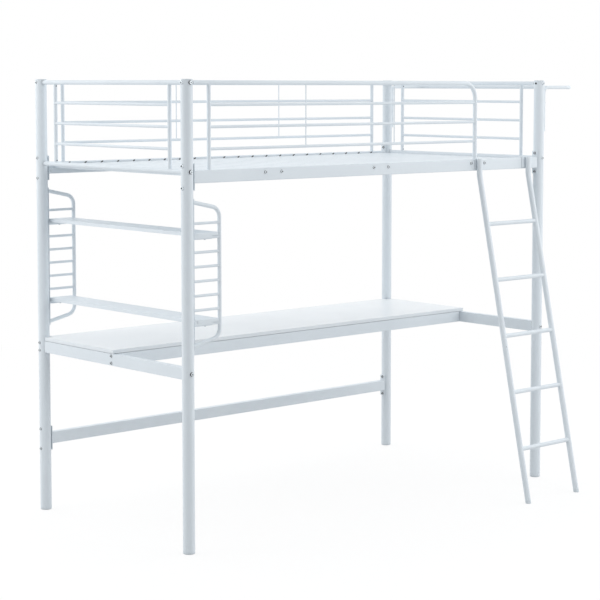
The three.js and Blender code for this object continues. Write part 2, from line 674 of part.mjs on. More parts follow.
// Ladder foot: a plastic plug along the stile, cut level with the floor
function ladderFoot() {
  const plugRadius = stileRadius - LADDER_STILE_WALL - TOUCH_GAP;
  const flange = LADDER_FOOT_LENGTH - TOUCH_GAP;
  const sole = -stileRadius;
  const profile = [
    new THREE.Vector2(0, sole),
    new THREE.Vector2(stileRadius, sole),
    new THREE.Vector2(stileRadius, flange),
    new THREE.Vector2(plugRadius, flange),
    new THREE.Vector2(plugRadius, flange + PLUG_LENGTH),
    new THREE.Vector2(0, flange + PLUG_LENGTH),
  ];
  const geometry = lathed(profile, TUBE_SIDES);
  geometry.rotateX(-ladderAngle);
  const reach = LADDER_STILE_DIAMETER;
  const floor = block(point(-reach, -reach, -reach), point(reach, reach, 0));
  return cut(solidOf(geometry), [floor]);
}

// Ladder hook: a plate between the side rail and the stile, whose narrower tongue goes over the rail and
// down behind it, beside the guard's end tube. inward is 1 for the left stile and -1 for the right one.
function ladderHook(inward) {
  const outerX = -HOOK_OUTER_REACH * inward;
  const innerX = HOOK_INNER_REACH * inward;
  const tongueX = (GUARD_TUBE_DIAMETER / 2 + HOOK_TONGUE_CLEARANCE) * inward;
  const under = sideRailTop + TOUCH_GAP;
  const top = under + HOOK_THICKNESS;
  const near = railHalf + TOUCH_GAP;
  const far = near + HOOK_THICKNESS;
  return joined([
    block(point(outerX, -far, sideRailTop - HOOK_FRONT_LENGTH), point(innerX, -near, top)),
    block(point(tongueX, -far, under), point(innerX, far, top)),
    block(point(tongueX, near, sideRailTop - HOOK_REAR_LENGTH), point(innerX, far, top)),
  ]);
}

// The assembly, drawn from the middle of the left front post and then centred on the floor
const bed = new THREE.Group();

function add(name, geometry, material, x = 0, y = 0, z = 0) {
  const mesh = new THREE.Mesh(geometry, material);
  mesh.name = name;
  mesh.position.set(x, y, z);
  bed.add(mesh);
  return mesh;
}

const posts = {
  front_left: [0, 0],
  front_right: [POST_SPACING_X, 0],
  rear_left: [0, POST_SPACING_Y],
  rear_right: [POST_SPACING_X, POST_SPACING_Y],
};
const plainPost = geometryOf(postTube());
const drilledPost = geometryOf(postTubeWithSpareHole());
const footGeometry = postPlug(FOOT_HEIGHT, FOOT_EDGE);
const capGeometry = postPlug(CAP_HEIGHT, CAP_EDGE);
for (const [place, [x, y]] of Object.entries(posts)) {
  add(`post_${place}`, place === 'front_right' ? drilledPost : plainPost, powderCoat, x, y);
  add(`post_foot_${place}`, footGeometry, whitePlastic, x, y);
  add(`post_cap_${place}`, capGeometry, whitePlastic, x, y, OVERALL_HEIGHT).rotation.x = Math.PI;
}

const endFrameGeometry = geometryOf(endFrame());
add('left_end_frame', endFrameGeometry, powderCoat);
add('right_end_frame', endFrameGeometry, powderCoat, POST_SPACING_X);
add('front_guard', geometryOf(frontGuard()), powderCoat);
add('rear_guard', geometryOf(rearGuard()), powderCoat, 0, POST_SPACING_Y);

const sideRailGeometry = geometryOf(sideRail());
add('front_side_rail', sideRailGeometry, powderCoat);
add('rear_side_rail', sideRailGeometry, powderCoat, POST_SPACING_X, POST_SPACING_Y).rotation.z = Math.PI;

const slatGeometry = geometryOf(slat());
for (let i = 0; i < SLAT_COUNT; i += 1) {
  add(`bed_slat_${String(i + 1).padStart(2, '0')}`, slatGeometry, powderCoat, slatX(i));
}

const supportNames = ['left', 'middle', 'right'];
const supportGeometry = geometryOf(crossSupport());
SUPPORT_SLATS.forEach((index, i) => {
  add(`cross_support_${supportNames[i]}`, supportGeometry, powderCoat, slatX(index));
});

const deskEndRailGeometry = geometryOf(deskEndRail());
add('desk_left_rail', deskEndRailGeometry, powderCoat);
add('desk_right_rail', deskEndRailGeometry, powderCoat, POST_SPACING_X);
add('desk_front_apron', geometryOf(deskFrontApron()), powderCoat);
add('desk_rear_apron', geometryOf(deskRearApron()), powderCoat);
add('desk_board', geometryOf(deskBoard()), whiteBoard);
add('rear_stretcher', geometryOf(platedRail(STRETCHER_TOP)), powderCoat, 0, POST_SPACING_Y);

const rackGeometry = geometryOf(shelfRack());
add('front_shelf_rack', rackGeometry, powderCoat);
add('rear_shelf_rack', rackGeometry, powderCoat, 0, POST_SPACING_Y);
const shelfGeometry = geometryOf(shelf());
for (const [name, rung] of Object.entries(SHELF_RUNGS)) {
  add(name, shelfGeometry, powderCoat, 0, 0, shelfHeight(rung));
}
add('clothes_loop', geometryOf(clothesLoop()), powderCoat, POST_SPACING_X);

const ladderRightX = ladderLeftX + LADDER_WIDTH;
const ladderFootGeometry = geometryOf(ladderFoot());
add('ladder_frame', geometryOf(ladderFrame()), powderCoat, ladderLeftX);
add('ladder_left_foot', ladderFootGeometry, whitePlastic, ladderLeftX, footY);
add('ladder_right_foot', ladderFootGeometry, whitePlastic, ladderRightX, footY);
add('ladder_left_hook', geometryOf(ladderHook(1)), powderCoat, ladderLeftX);
add('ladder_right_hook', geometryOf(ladderHook(-1)), powderCoat, ladderRightX);

// The outline runs from the left posts to the clothes loop, and from the ladder's feet to the rear posts
const outlineEndX = POST_SPACING_X + LOOP_REACH + loopRadius;
const outlineEndY = POST_SPACING_Y + postRadius;
const outlineStartY = footY - stileRadius / Math.cos(ladderAngle);
bed.position.set((postRadius - outlineEndX) / 2, -(outlineStartY + outlineEndY) / 2, 0);

export default bed;
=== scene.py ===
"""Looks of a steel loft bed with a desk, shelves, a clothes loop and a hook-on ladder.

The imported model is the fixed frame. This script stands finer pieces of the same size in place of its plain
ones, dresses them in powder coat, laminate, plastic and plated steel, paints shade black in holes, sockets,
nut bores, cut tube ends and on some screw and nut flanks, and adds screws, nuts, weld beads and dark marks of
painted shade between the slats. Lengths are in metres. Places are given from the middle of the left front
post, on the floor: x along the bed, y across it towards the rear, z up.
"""

import logging
import math
from dataclasses import dataclass
from enum import Enum
from typing import Callable, ClassVar, Iterable, Iterator, Optional, Sequence

import bmesh
import bpy
from mathutils import Matrix, Vector

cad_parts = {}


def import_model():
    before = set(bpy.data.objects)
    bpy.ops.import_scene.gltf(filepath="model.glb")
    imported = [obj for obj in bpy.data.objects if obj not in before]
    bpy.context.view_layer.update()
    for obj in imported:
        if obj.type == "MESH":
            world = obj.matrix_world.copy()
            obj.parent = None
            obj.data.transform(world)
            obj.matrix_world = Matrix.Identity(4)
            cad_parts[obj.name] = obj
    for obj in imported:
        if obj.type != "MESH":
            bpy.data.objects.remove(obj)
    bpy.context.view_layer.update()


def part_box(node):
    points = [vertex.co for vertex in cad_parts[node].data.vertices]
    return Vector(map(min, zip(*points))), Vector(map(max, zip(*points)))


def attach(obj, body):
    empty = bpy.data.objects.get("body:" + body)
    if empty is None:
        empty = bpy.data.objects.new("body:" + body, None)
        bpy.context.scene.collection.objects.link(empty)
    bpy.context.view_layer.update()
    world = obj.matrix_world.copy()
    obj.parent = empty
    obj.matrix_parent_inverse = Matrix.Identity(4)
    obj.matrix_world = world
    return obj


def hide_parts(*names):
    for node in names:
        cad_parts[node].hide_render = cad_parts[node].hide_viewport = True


LOG = logging.getLogger("loft_bed")

Span = tuple[float, float]
Triple = tuple[float, float, float]
Material = bpy.types.Material
Mesh = bpy.types.Mesh
Socket = bpy.types.NodeSocket
Face = bmesh.types.BMFace
Edge = bmesh.types.BMEdge
Vert = bmesh.types.BMVert


class Body(Enum):
    """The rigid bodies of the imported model."""

    FRAME = "frame"
    LADDER = "ladder"


class Slot(Enum):
    """The record's material slots."""

    STEEL = "powder_coated_steel"
    BOARD = "white_board"
    PLASTIC = "white_plastic"
    PLATED = "plated_fastener"
    # the slot of the near-black that is painted as shade
    DARK = "dark_plastic"


class Side(Enum):
    """The side of a post, rail or tube that something is fixed to, as the direction out of that side."""

    LEFT = (-1.0, 0.0, 0.0)
    RIGHT = (1.0, 0.0, 0.0)
    FRONT = (0.0, -1.0, 0.0)
    REAR = (0.0, 1.0, 0.0)

    @property
    def out(self) -> Vector:
        """The direction out of this side."""
        return Vector(self.value)


X_AXIS = Vector((1.0, 0.0, 0.0))
Y_AXIS = Vector((0.0, 1.0, 0.0))
Z_AXIS = Vector((0.0, 0.0, 1.0))

PARALLEL = 0.99  # least cosine between two directions that count as parallel
NOISE_LOW = 0.3  # where most of a noise pattern's values start
NOISE_HIGH = 0.7  # and where they end
POST_SIDES = 64  # facets round a post
TUBE_SIDES = 32  # facets round a tube
UPRIGHT_SIDES = 24  # facets round a thinner tube or an upright
HOLE_SIDES = 12  # facets round a small hole or a wire
EDGE_STEPS = 2  # facets across the rounding of an edge
FOLD_STEPS = 4  # facets across a fold, or across the rounding of a section's corner
CUT_REACH = 2.0  # how far out a cutting tool reaches, in the radius or height of what it cuts


@dataclass(frozen=True)
class Layout:
    """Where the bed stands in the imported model's frame.

    Attributes:
        origin: the floor point at the middle of the left front post.
        length: from the middle of a left post to the middle of a right one.
        width: from the middle of a front post to the middle of a rear one.
        height: of the whole bed.
        post_radius: outer radius of a post.
        post_face: from a post's middle line to what is held flat against the post.
        top_tube: height of the middle of the end frames' and guards' top tubes.
        low_tube: height of the middle of the end frames' lower tubes.
        rail_top: height of the side rails' top.
        stretcher_top: height of the lower stretcher's top.
        rail_height: of the side rails' and the stretcher's section.
        plate_bolt: from the middle of these to the bolts through their end plates, up and down.
        ladder_opening: from the middle of a right post to the end of the front guard.
    """

    origin: Vector
    length: float
    width: float
    height: float
    post_radius: float
    post_face: ClassVar[float] = 0.0243
    top_tube: ClassVar[float] = 1.836
    low_tube: ClassVar[float] = 1.494
    rail_top: ClassVar[float] = 1.499
    stretcher_top: ClassVar[float] = 0.335
    rail_height: ClassVar[float] = 0.05
    plate_bolt: ClassVar[float] = 0.0425
    ladder_opening: ClassVar[float] = 0.432

    @classmethod
    def read(cls) -> "Layout":
        """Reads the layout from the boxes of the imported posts.

        Returns:
            The layout.
        """
        low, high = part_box("post_front_left")
        far_low, far_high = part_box("post_rear_right")
        middle = (low + high) / 2
        far = (far_low + far_high) / 2
        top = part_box("post_cap_front_left")[1].z
        origin = Vector((middle.x, middle.y, 0.0))
        return cls(origin, far.x - middle.x, far.y - middle.y, top, (high.x - low.x) / 2)

    def at(self, x: float, y: float, z: float) -> Vector:
        """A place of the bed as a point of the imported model's frame."""
        return self.origin + Vector((x, y, z))

    def posts(self) -> dict[str, tuple[float, float]]:
        """The four posts.

        Returns:
            The x and y of each post's middle, by its name.
        """
        return {
            "front_left": (0.0, 0.0),
            "front_right": (self.length, 0.0),
            "rear_left": (0.0, self.width),
            "rear_right": (self.length, self.width),
        }


class NodeSketch:
    """A node tree while it is being drawn."""

    def __init__(self, tree: bpy.types.NodeTree) -> None:
        """Starts on a tree."""
        self.tree = tree

    def add(self, kind: str, **settings: object) -> bpy.types.Node:
        """Adds a node.

        Args:
            kind: the node's type.
            settings: its attributes.

        Returns:
            The node.
        """
        node = self.tree.nodes.new(kind)
        for key, value in settings.items():
            setattr(node, key, value)
        return node

    def link(self, source: Socket, target: Socket) -> None:
        """Joins an output to an input."""
        self.tree.links.new(source, target)

    def mapped(self, value: Socket, span: Span, target: Span) -> Socket:
        """Maps a value from one range to another, and holds it inside.

        Args:
            value: the value.
            span: the range that it has.
            target: the range that it gets.

        Returns:
            The mapped value's output.
        """
        node = self.add("ShaderNodeMapRange")
        node.inputs["From Min"].default_value, node.inputs["From Max"].default_value = span
        node.inputs["To Min"].default_value, node.inputs["To Max"].default_value = target
        self.link(value, node.inputs["Value"])
        return node.outputs["Result"]

    def combined(self, operation: str, first: Socket, second: Socket) -> Socket:
        """Combines two values.

        Args:
            operation: the Math node's operation.
            first: one value.
            second: the other value.

        Returns:
            The result's output.
        """
        node = self.add("ShaderNodeMath", operation=operation)
        self.link(first, node.inputs[0])
        self.link(second, node.inputs[1])
        return node.outputs[0]

    def blend(self, share: Socket, first: Socket, second: Socket) -> Socket:
        """Mixes two shaders.

        Args:
            share: share of the second shader.
            first: one shader.
            second: the other shader.

        Returns:
            The mixed shader's output.
        """
        node = self.add("ShaderNodeMixShader")
        self.link(share, node.inputs["Fac"])
        self.link(first, node.inputs[1])
        self.link(second, node.inputs[2])
        return node.outputs["Shader"]

    def seen_directly(self) -> Socket:
        """Tells the rays that should see the backdrop white from those that light the bed.

        Returns:
            One for rays straight from the camera, off a gloss or through glass, and zero for all others.
        """
        path = self.add("ShaderNodeLightPath")
        glossy = self.combined("MAXIMUM", path.outputs["Is Camera Ray"], path.outputs["Is Glossy Ray"])
        return self.combined("MAXIMUM", glossy, path.outputs["Is Transmission Ray"])


class FinishSketch(NodeSketch):
    """A finish's material while its nodes are being drawn."""

    def __init__(self, name: str) -> None:
        """Starts a material.

        Args:
            name: of the material.
        """
        self.material = bpy.data.materials.new(name)
        self.material.use_nodes = True
        super().__init__(self.material.node_tree)
        self.shader = self.tree.nodes["Principled BSDF"]
        self.place = self.add("ShaderNodeTexCoord").outputs["Object"]

    def noise(self, scale: float, detail: float, place: Optional[Socket] = None) -> Socket:
        """A noise pattern on the piece's own metres.

        Args:
            scale: cells per metre.
            detail: octaves.
            place: coordinates to read instead of the plain ones.

        Returns:
            The pattern's value output.
        """
        node = self.add("ShaderNodeTexNoise")
        node.inputs["Scale"].default_value = scale
        node.inputs["Detail"].default_value = detail
        self.link(place or self.place, node.inputs["Vector"])
        return node.outputs["Fac"]

    def stretched(self, scale: Triple) -> Socket:
        """Scales the piece's coordinates unevenly, for a pattern with a direction.

        Args:
            scale: along x, y and z.

        Returns:
            The scaled coordinates' output.
        """
        node = self.add("ShaderNodeMapping")
        node.inputs["Scale"].default_value = scale
        self.link(self.place, node.inputs["Vector"])
        return node.outputs["Vector"]

    def gloss(self, value: Socket, roughness: Span) -> None:
        """Varies the surface's roughness by a pattern.

        Args:
            value: the pattern.
            roughness: where the pattern is weakest, and where it is strongest.
        """
        self.link(self.mapped(value, (NOISE_LOW, NOISE_HIGH), roughness), self.shader.inputs["Roughness"])

    def tint(self, value: Socket, dark: Triple, pale: Triple) -> None:
        """Colours the surface between two tones by a pattern.

        Args:
            value: the pattern.
            dark: the tone where the pattern is weakest.
            pale: the tone where it is strongest.
        """
        ramp = self.add("ShaderNodeValToRGB")
        ramp.color_ramp.elements[0].position = NOISE_LOW
        ramp.color_ramp.elements[1].position = NOISE_HIGH
        ramp.color_ramp.elements[0].color = (*dark, 1.0)
        ramp.color_ramp.elements[1].color = (*pale, 1.0)
        self.link(value, ramp.inputs["Fac"])
        self.link(ramp.outputs["Color"], self.shader.inputs["Base Color"])

    def relief(self, value: Socket, depth: float, strength: float) -> None:
        """Raises the surface by a pattern.

        Args:
            value: the pattern.
            depth: height of the pattern in metres.
            strength: share of the height that shows.
        """
        bump = self.add("ShaderNodeBump")
        bump.inputs["Distance"].default_value = depth
        bump.inputs["Strength"].default_value = strength
        self.link(value, bump.inputs["Height"])
        self.link(bump.outputs["Normal"], self.shader.inputs["Normal"])


@dataclass(frozen=True)
class PowderCoat:
    """Satin white powder coat: a faint orange peel, and slight changes of tone and gloss along the steel."""

    name: str = "satin_white_powder_coat"
    dark: Triple = (0.735, 0.79, 0.836)
    pale: Triple = (0.765, 0.82, 0.863)
    roughness: Span = (0.36, 0.46)
    specular: float = 0.45
    tone_cells: float = 3.0
    tone_detail: float = 1.0
    gloss_cells: float = 22.0
    gloss_detail: float = 2.0
    peel_cells: float = 620.0
    peel_detail: float = 2.0
    peel_depth: float = 0.00004
    peel_strength: float = 0.35

    def material(self) -> Material:
        """Draws the coat's nodes.

        Returns:
            The material.
        """
        sketch = FinishSketch(self.name)
        sketch.shader.inputs["Specular IOR Level"].default_value = self.specular
        sketch.tint(sketch.noise(self.tone_cells, self.tone_detail), self.dark, self.pale)
        sketch.gloss(sketch.noise(self.gloss_cells, self.gloss_detail), self.roughness)
        sketch.relief(sketch.noise(self.peel_cells, self.peel_detail), self.peel_depth, self.peel_strength)
        return sketch.material


@dataclass(frozen=True)
class Laminate:
    """White melamine film on the desk board, or the banding on its edges: a fine grain along the board."""

    name: str = "white_melamine_film"
    dark: Triple = (0.84, 0.865, 0.885)
    pale: Triple = (0.87, 0.893, 0.91)
    roughness: Span = (0.3, 0.4)
    tone_cells: float = 5.0
    tone_detail: float = 2.0
    grain_cells: Triple = (60.0, 900.0, 900.0)
    grain_detail: float = 3.0
    grain_depth: float = 0.00003
    grain_strength: float = 0.25

    def material(self) -> Material:
        """Draws the film's nodes.

        Returns:
            The material.
        """
        sketch = FinishSketch(self.name)
        sketch.tint(sketch.noise(self.tone_cells, self.tone_detail), self.dark, self.pale)
        grain = sketch.noise(1.0, self.grain_detail, sketch.stretched(self.grain_cells))
        sketch.gloss(grain, self.roughness)
        sketch.relief(grain, self.grain_depth, self.grain_strength)
        return sketch.material


@dataclass(frozen=True)
class MouldedPlastic:
    """Injection-moulded plastic with the fine eroded texture of its mould."""

    name: str = "moulded_white_plastic"
    dark: Triple = (0.68, 0.735, 0.775)
    pale: Triple = (0.71, 0.765, 0.805)
    roughness: Span = (0.5, 0.62)
    tone_cells: float = 60.0
    tone_detail: float = 2.0
    grain_cells: float = 2200.0
    grain_detail: float = 2.0
    grain_depth: float = 0.00004
    grain_strength: float = 0.4

    def material(self) -> Material:
        """Draws the plastic's nodes.

        Returns:
            The material.
        """
        sketch = FinishSketch(self.name)
        sketch.tint(sketch.noise(self.tone_cells, self.tone_detail), self.dark, self.pale)
        grain = sketch.noise(self.grain_cells, self.grain_detail)
        sketch.gloss(grain, self.roughness)
        sketch.relief(grain, self.grain_depth, self.grain_strength)
        return sketch.material


@dataclass(frozen=True)
class PlatedSteel:
    """Zinc-plated steel of the screws and nuts: cloudy grey metal with fine drawing marks."""

    name: str = "zinc_plated_steel"
    dark: Triple = (0.5, 0.54, 0.57)
    pale: Triple = (0.66, 0.71, 0.745)
    roughness: Span = (0.35, 0.55)
    metallic: float = 1.0
    cloud_cells: float = 350.0
    cloud_detail: float = 3.0
    mark_cells: float = 1800.0
    mark_detail: float = 1.0
    mark_depth: float = 0.00002
    mark_strength: float = 0.3

    def material(self) -> Material:
        """Draws the plating's nodes.

        Returns:
            The material.
        """
        sketch = FinishSketch(self.name)
        sketch.shader.inputs["Metallic"].default_value = self.metallic
        cloud = sketch.noise(self.cloud_cells, self.cloud_detail)
        sketch.tint(cloud, self.dark, self.pale)
        sketch.gloss(cloud, self.roughness)
        sketch.relief(sketch.noise(self.mark_cells, self.mark_detail), self.mark_depth, self.mark_strength)
        return sketch.material


@dataclass(frozen=True)
class Finishes:
    """One material of each finish, and a near-black that is painted as shade."""

    coat: Material
    film: Material
    banding: Material
    plastic: Material
    plated: Material
    # near-black painted as shade in holes, sockets, nut bores, on cut tube ends, on flanks and as the marks
    # between slats
    dark: Material

    @classmethod
    def mix(cls) -> "Finishes":
        """Makes the materials.

        Returns:
            The finishes.
        """
        banding = Laminate("edge_banding", dark=(0.765, 0.81, 0.845), pale=(0.795, 0.84, 0.873))
        # a near-black plastic that stands for shade, not for a dark part of the bed
        dark = MouldedPlastic("painted_shade_black", dark=(0.012, 0.012, 0.014), pale=(0.022, 0.022, 0.024))
        return cls(
            coat=PowderCoat().material(),
            film=Laminate().material(),
            banding=banding.material(),
            plastic=MouldedPlastic().material(),
            plated=PlatedSteel().material(),
            dark=dark.material(),
        )


def of_kind(items: Iterable[object], kind: type) -> list:
    """The items that are of one kind of mesh element."""
    return [item for item in items if isinstance(item, kind)]


def height_of(face: Face) -> float:
    """The height of a face's middle."""
    return face.calc_center_median().z


class Shaper:
    """A mesh that grows by modelling operators and ends as one piece of the bed."""

    BEND_STEP = math.radians(7.5)
    LEAST_BEND_STEPS = 3
    SMOOTH_ANGLE = math.radians(34)
    ROD_SIDES = 20
    RIM_STEPS = 3
    BEAD_RADIUS = 0.0014
    BEAD_SIDES = 6
    BEAD_STEPS = 18

    def __init__(self) -> None:
        """Starts with an empty mesh."""
        self.bm = bmesh.new()

    @staticmethod
    def turned(place: Vector, direction: Vector) -> Matrix:
        """A frame at a place, whose z axis runs along a direction."""
        return Matrix.Translation(place) @ direction.to_track_quat("Z", "Y").to_matrix().to_4x4()

    def pull(self, face: Face, offset: Vector) -> Face:
        """Extrudes a face by an offset.

        Args:
            face: the face to pull.
            offset: how far its copy moves.

        Returns:
            The face at the new end.
        """
        made = bmesh.ops.extrude_face_region(self.bm, geom=[face])["geom"]
        bmesh.ops.translate(self.bm, verts=of_kind(made, Vert), vec=offset)
        return of_kind(made, Face)[0]

    def bore(self, face: Face, wall: float, offset: Vector) -> None:
        """Opens the end of a tube.

        Args:
            face: the end's face.
            wall: thickness left round the bore.
            offset: from the end to the bottom of the bore.
        """
        bmesh.ops.inset_region(self.bm, faces=[face], thickness=wall, use_even_offset=True)
        self.pull(face, offset)

    def rod(self, start: Vector, end: Vector, radius: float, sides: int = ROD_SIDES,
            rim: float = 0.0) -> list[Face]:
        """A round bar, or a tube whose ends don't show.

        Args:
            start: middle of one end.
            end: middle of the other end.
            radius: of the bar.
            sides: facets round it.
            rim: rounding of its end rims.

        Returns:
            Its two end faces, where the rims are left sharp.
        """
        along = end - start
        made = bmesh.ops.create_cone(
            self.bm, cap_ends=True, segments=sides, radius1=radius, radius2=radius, depth=along.length,
            matrix=self.turned((start + end) / 2, along))
        faces = {face for vert in made["verts"] for face in vert.link_faces}
        ends = [face for face in faces if len(face.verts) == sides]
        if rim:
            self.round_edges([edge for face in ends for edge in face.edges], rim)
            return []
        return ends

    def round_edges(self, edges: Iterable[Edge], radius: float, steps: int = RIM_STEPS) -> None:
        """Rounds edges.

        Args:
            edges: the edges.
            radius: of the rounding.
            steps: facets across it.
        """
        bmesh.ops.bevel(
            self.bm, geom=list(edges), offset=radius, offset_type="OFFSET", segments=steps, profile=0.5,
            affect="EDGES", clamp_overlap=True, material=-1)

    def tube(self, corners: Sequence[Vector], bends: Sequence[float], radius: float, sides: int,
             wall: float = 0.0, depth: float = 0.0) -> None:
        """A round tube along straight runs joined by bends.

        Args:
            corners: the ends of the runs.
            bends: the radius of the bend at each corner between two runs.
            radius: of the tube.
            sides: facets round it.
            wall: thickness that its open ends show, or zero for closed ends.
            depth: of the open ends.
        """
        runs = [(b - a).normalized() for a, b in zip(corners, corners[1:])]
        turns = [before.angle(after) for before, after in zip(runs, runs[1:])]
        setbacks = [bend * math.tan(turn / 2) for bend, turn in zip(bends, turns)]
        made = bmesh.ops.create_circle(
            self.bm, cap_ends=True, segments=sides, radius=radius, matrix=self.turned(corners[0], runs[0]))
        first = made["verts"][0].link_faces[0]
        face = first
        for i, run in enumerate(runs):
            before = setbacks[i - 1] if i else 0.0
            after = setbacks[i] if i < len(bends) else 0.0
            face = self.pull(face, run * ((corners[i + 1] - corners[i]).length - before - after))
            if i < len(bends):
                axis = run.cross(runs[i + 1]).normalized()
                centre = corners[i + 1] - run * after + axis.cross(run) * bends[i]
                spun = bmesh.ops.spin(
                    self.bm, geom=[face], cent=centre, axis=axis, angle=turns[i],
                    steps=max(self.LEAST_BEND_STEPS, math.ceil(turns[i] / self.BEND_STEP)),
                    use_merge=False, use_duplicate=False)
                face = of_kind(spun["geom_last"], Face)[0]
        if wall:
            self.bore(first, wall, runs[0] * depth)
            self.bore(face, wall, -runs[-1] * depth)

    def block(self, low: Vector, high: Vector, edge: float) -> None:
        """A block with its edges rounded.

        Args:
            low: its lowest corner.
            high: its highest corner.
            edge: radius of its edges.
        """
        faces = self.box(low, high)
        self.round_edges({item for face in faces for item in face.edges}, edge, EDGE_STEPS)

    def box(self, low: Vector, high: Vector) -> list[Face]:
        """A sharp box.

        Args:
            low: its lowest corner.
            high: its highest corner.

        Returns:
            Its faces.
        """
        size = Matrix.Diagonal((*(high - low), 1.0))
        made = bmesh.ops.create_cube(self.bm, size=1.0, matrix=Matrix.Translation((low + high) / 2) @ size)
        return list({face for vert in made["verts"] for face in vert.link_faces})

    def box_tube(self, low: Vector, high: Vector, axis: Vector, corner: float) -> None:
        """A rectangular tube with the round corners of rolled section, and with closed ends.

        Args:
            low: its lowest corner.
            high: its highest corner.
            axis: along its length.
            corner: radius of the section's corners.
        """
        faces = self.box(low, high)
        edges = {edge for face in faces for edge in face.edges}
        self.round_edges([edge for edge in edges if self.runs_along(edge, axis)], corner, FOLD_STEPS)

    @staticmethod
    def runs_along(edge: Edge, axis: Vector) -> bool:
        """Whether an edge is parallel to an axis."""
        along = (edge.verts[1].co - edge.verts[0].co).normalized()
        return abs(along.dot(axis)) > PARALLEL

    def prism(self, outline: Sequence[Vector], offset: Vector) -> list[Face]:
        """A flat outline drawn out to a solid.

        Args:
            outline: its corners in order.
            offset: from the outline to the solid's other end.

        Returns:
            The solid's faces.
        """
        verts = [self.bm.verts.new(corner) for corner in outline]
        self.pull(self.bm.faces.new(verts), offset)
        return list({face for vert in verts for edge in vert.link_edges for face in edge.link_faces})

    def bead(self, foot: Vector, along: Vector, radius: float, host: Vector, host_radius: float,
             bead: float = BEAD_RADIUS) -> None:
        """A weld bead round a bar where it leaves a round tube, or a flat face if the host's radius is zero.

        Args:
            foot: where the bar's middle line meets the host's middle line or the flat face.
            along: direction of the bar, away from the host.
            radius: of the bar.
            host: direction of the host's middle line.
            host_radius: of the host.
            bead: radius of the bead.
        """
        ring = self.turned(foot, along)
        section = ring @ Matrix.Translation((radius, 0.0, 0.0)) @ Matrix.Rotation(math.pi / 2, 4, "X")
        made = bmesh.ops.create_circle(self.bm, segments=self.BEAD_SIDES, radius=bead, matrix=section)
        edges = list({edge for vert in made["verts"] for edge in vert.link_edges})
        before = set(self.bm.verts) - set(made["verts"])
        bmesh.ops.spin(
            self.bm, geom=made["verts"] + edges, cent=foot, axis=along, angle=2 * math.pi,
            steps=self.BEAD_STEPS, use_merge=True, use_duplicate=False)
        across = along.cross(host)
        for vert in set(self.bm.verts) - before:
            offset = min(abs((vert.co - foot).dot(across)), host_radius)
            vert.co += along * math.sqrt(host_radius ** 2 - offset ** 2)

    def add(self, template: Mesh, place: Matrix) -> None:
        """Adds a copy of a finished mesh.

        Args:
            template: the mesh.
            place: where its copy stands.
        """
        count = len(self.bm.verts)
        self.bm.from_mesh(template)
        self.bm.verts.ensure_lookup_table()
        bmesh.ops.transform(self.bm, matrix=place, verts=self.bm.verts[count:])

    def take(self, other: "Shaper") -> None:
        """Takes in another shape where it stands.

        Args:
            other: the shape, which ends with this.
        """
        mesh = other.mesh("taken")
        self.add(mesh, Matrix.Identity(4))
        bpy.data.meshes.remove(mesh)

    def folded_sheet(self, thickness: float) -> None:
        """Gives an open shape, whose top looks up, the thickness of its sheet.

        Args:
            thickness: of the sheet.
        """
        bmesh.ops.recalc_face_normals(self.bm, faces=self.bm.faces)
        if max(self.bm.faces, key=height_of).normal.z < 0:
            bmesh.ops.reverse_faces(self.bm, faces=self.bm.faces)
        bmesh.ops.solidify(self.bm, geom=self.bm.faces[:], thickness=thickness)

    def mesh(self, name: str) -> Mesh:
        """Ends the shape: faces outwards, smooth, with its edges sharp.

        Args:
            name: of the mesh.

        Returns:
            The mesh.
        """
        bmesh.ops.recalc_face_normals(self.bm, faces=self.bm.faces)
        mesh = bpy.data.meshes.new(name)
        self.bm.to_mesh(mesh)
        self.bm.free()
        mesh.shade_smooth()
        mesh.set_sharp_from_angle(angle=self.SMOOTH_ANGLE)
        return mesh


def carve(base: Shaper, tool: Shaper, dark: Optional[Material] = None) -> Shaper:
    """Cuts one closed shape out of another.

    Args:
        base: the shape that is cut.
        tool: the shape that is taken away.
        dark: a near-black finish that paints shade on the cut faces, or none to leave them as the base.

    Returns:
        A shaper that holds the result.
    """
    collection = bpy.context.scene.collection
    shapes = {"base": base, "tool": tool}
    objects = [bpy.data.objects.new(name, shape.mesh(name)) for name, shape in shapes.items()]
    for obj in objects:
        collection.objects.link(obj)
    if dark:
        for material in (None, dark):
            objects[0].data.materials.append(material)
        objects[1].data.materials.append(dark)
    cut = objects[0].modifiers.new("cut", "BOOLEAN")
    cut.object = objects[1]
    cut.operation = "DIFFERENCE"
    cut.solver = "EXACT"
    cut.material_mode = "TRANSFER"
    bpy.context.view_layer.update()
    evaluated = objects[0].evaluated_get(bpy.context.evaluated_depsgraph_get())
    result = Shaper()
    result.bm.from_mesh(evaluated.data)
    for obj in objects:
        mesh = obj.data
        bpy.data.objects.remove(obj)
        bpy.data.meshes.remove(mesh)
    return result


def paint_shade(shaper: Shaper, chosen: Callable[[Face], bool]) -> None:
    """Paints shade on some faces: gives them the second finish of their piece, the near-black one.

    Args:
        shaper: the piece's shape.
        chosen: whether a face gets it.
    """
    shaper.bm.normal_update()
    for face in shaper.bm.faces:
        if chosen(face):
            face.material_index = 1


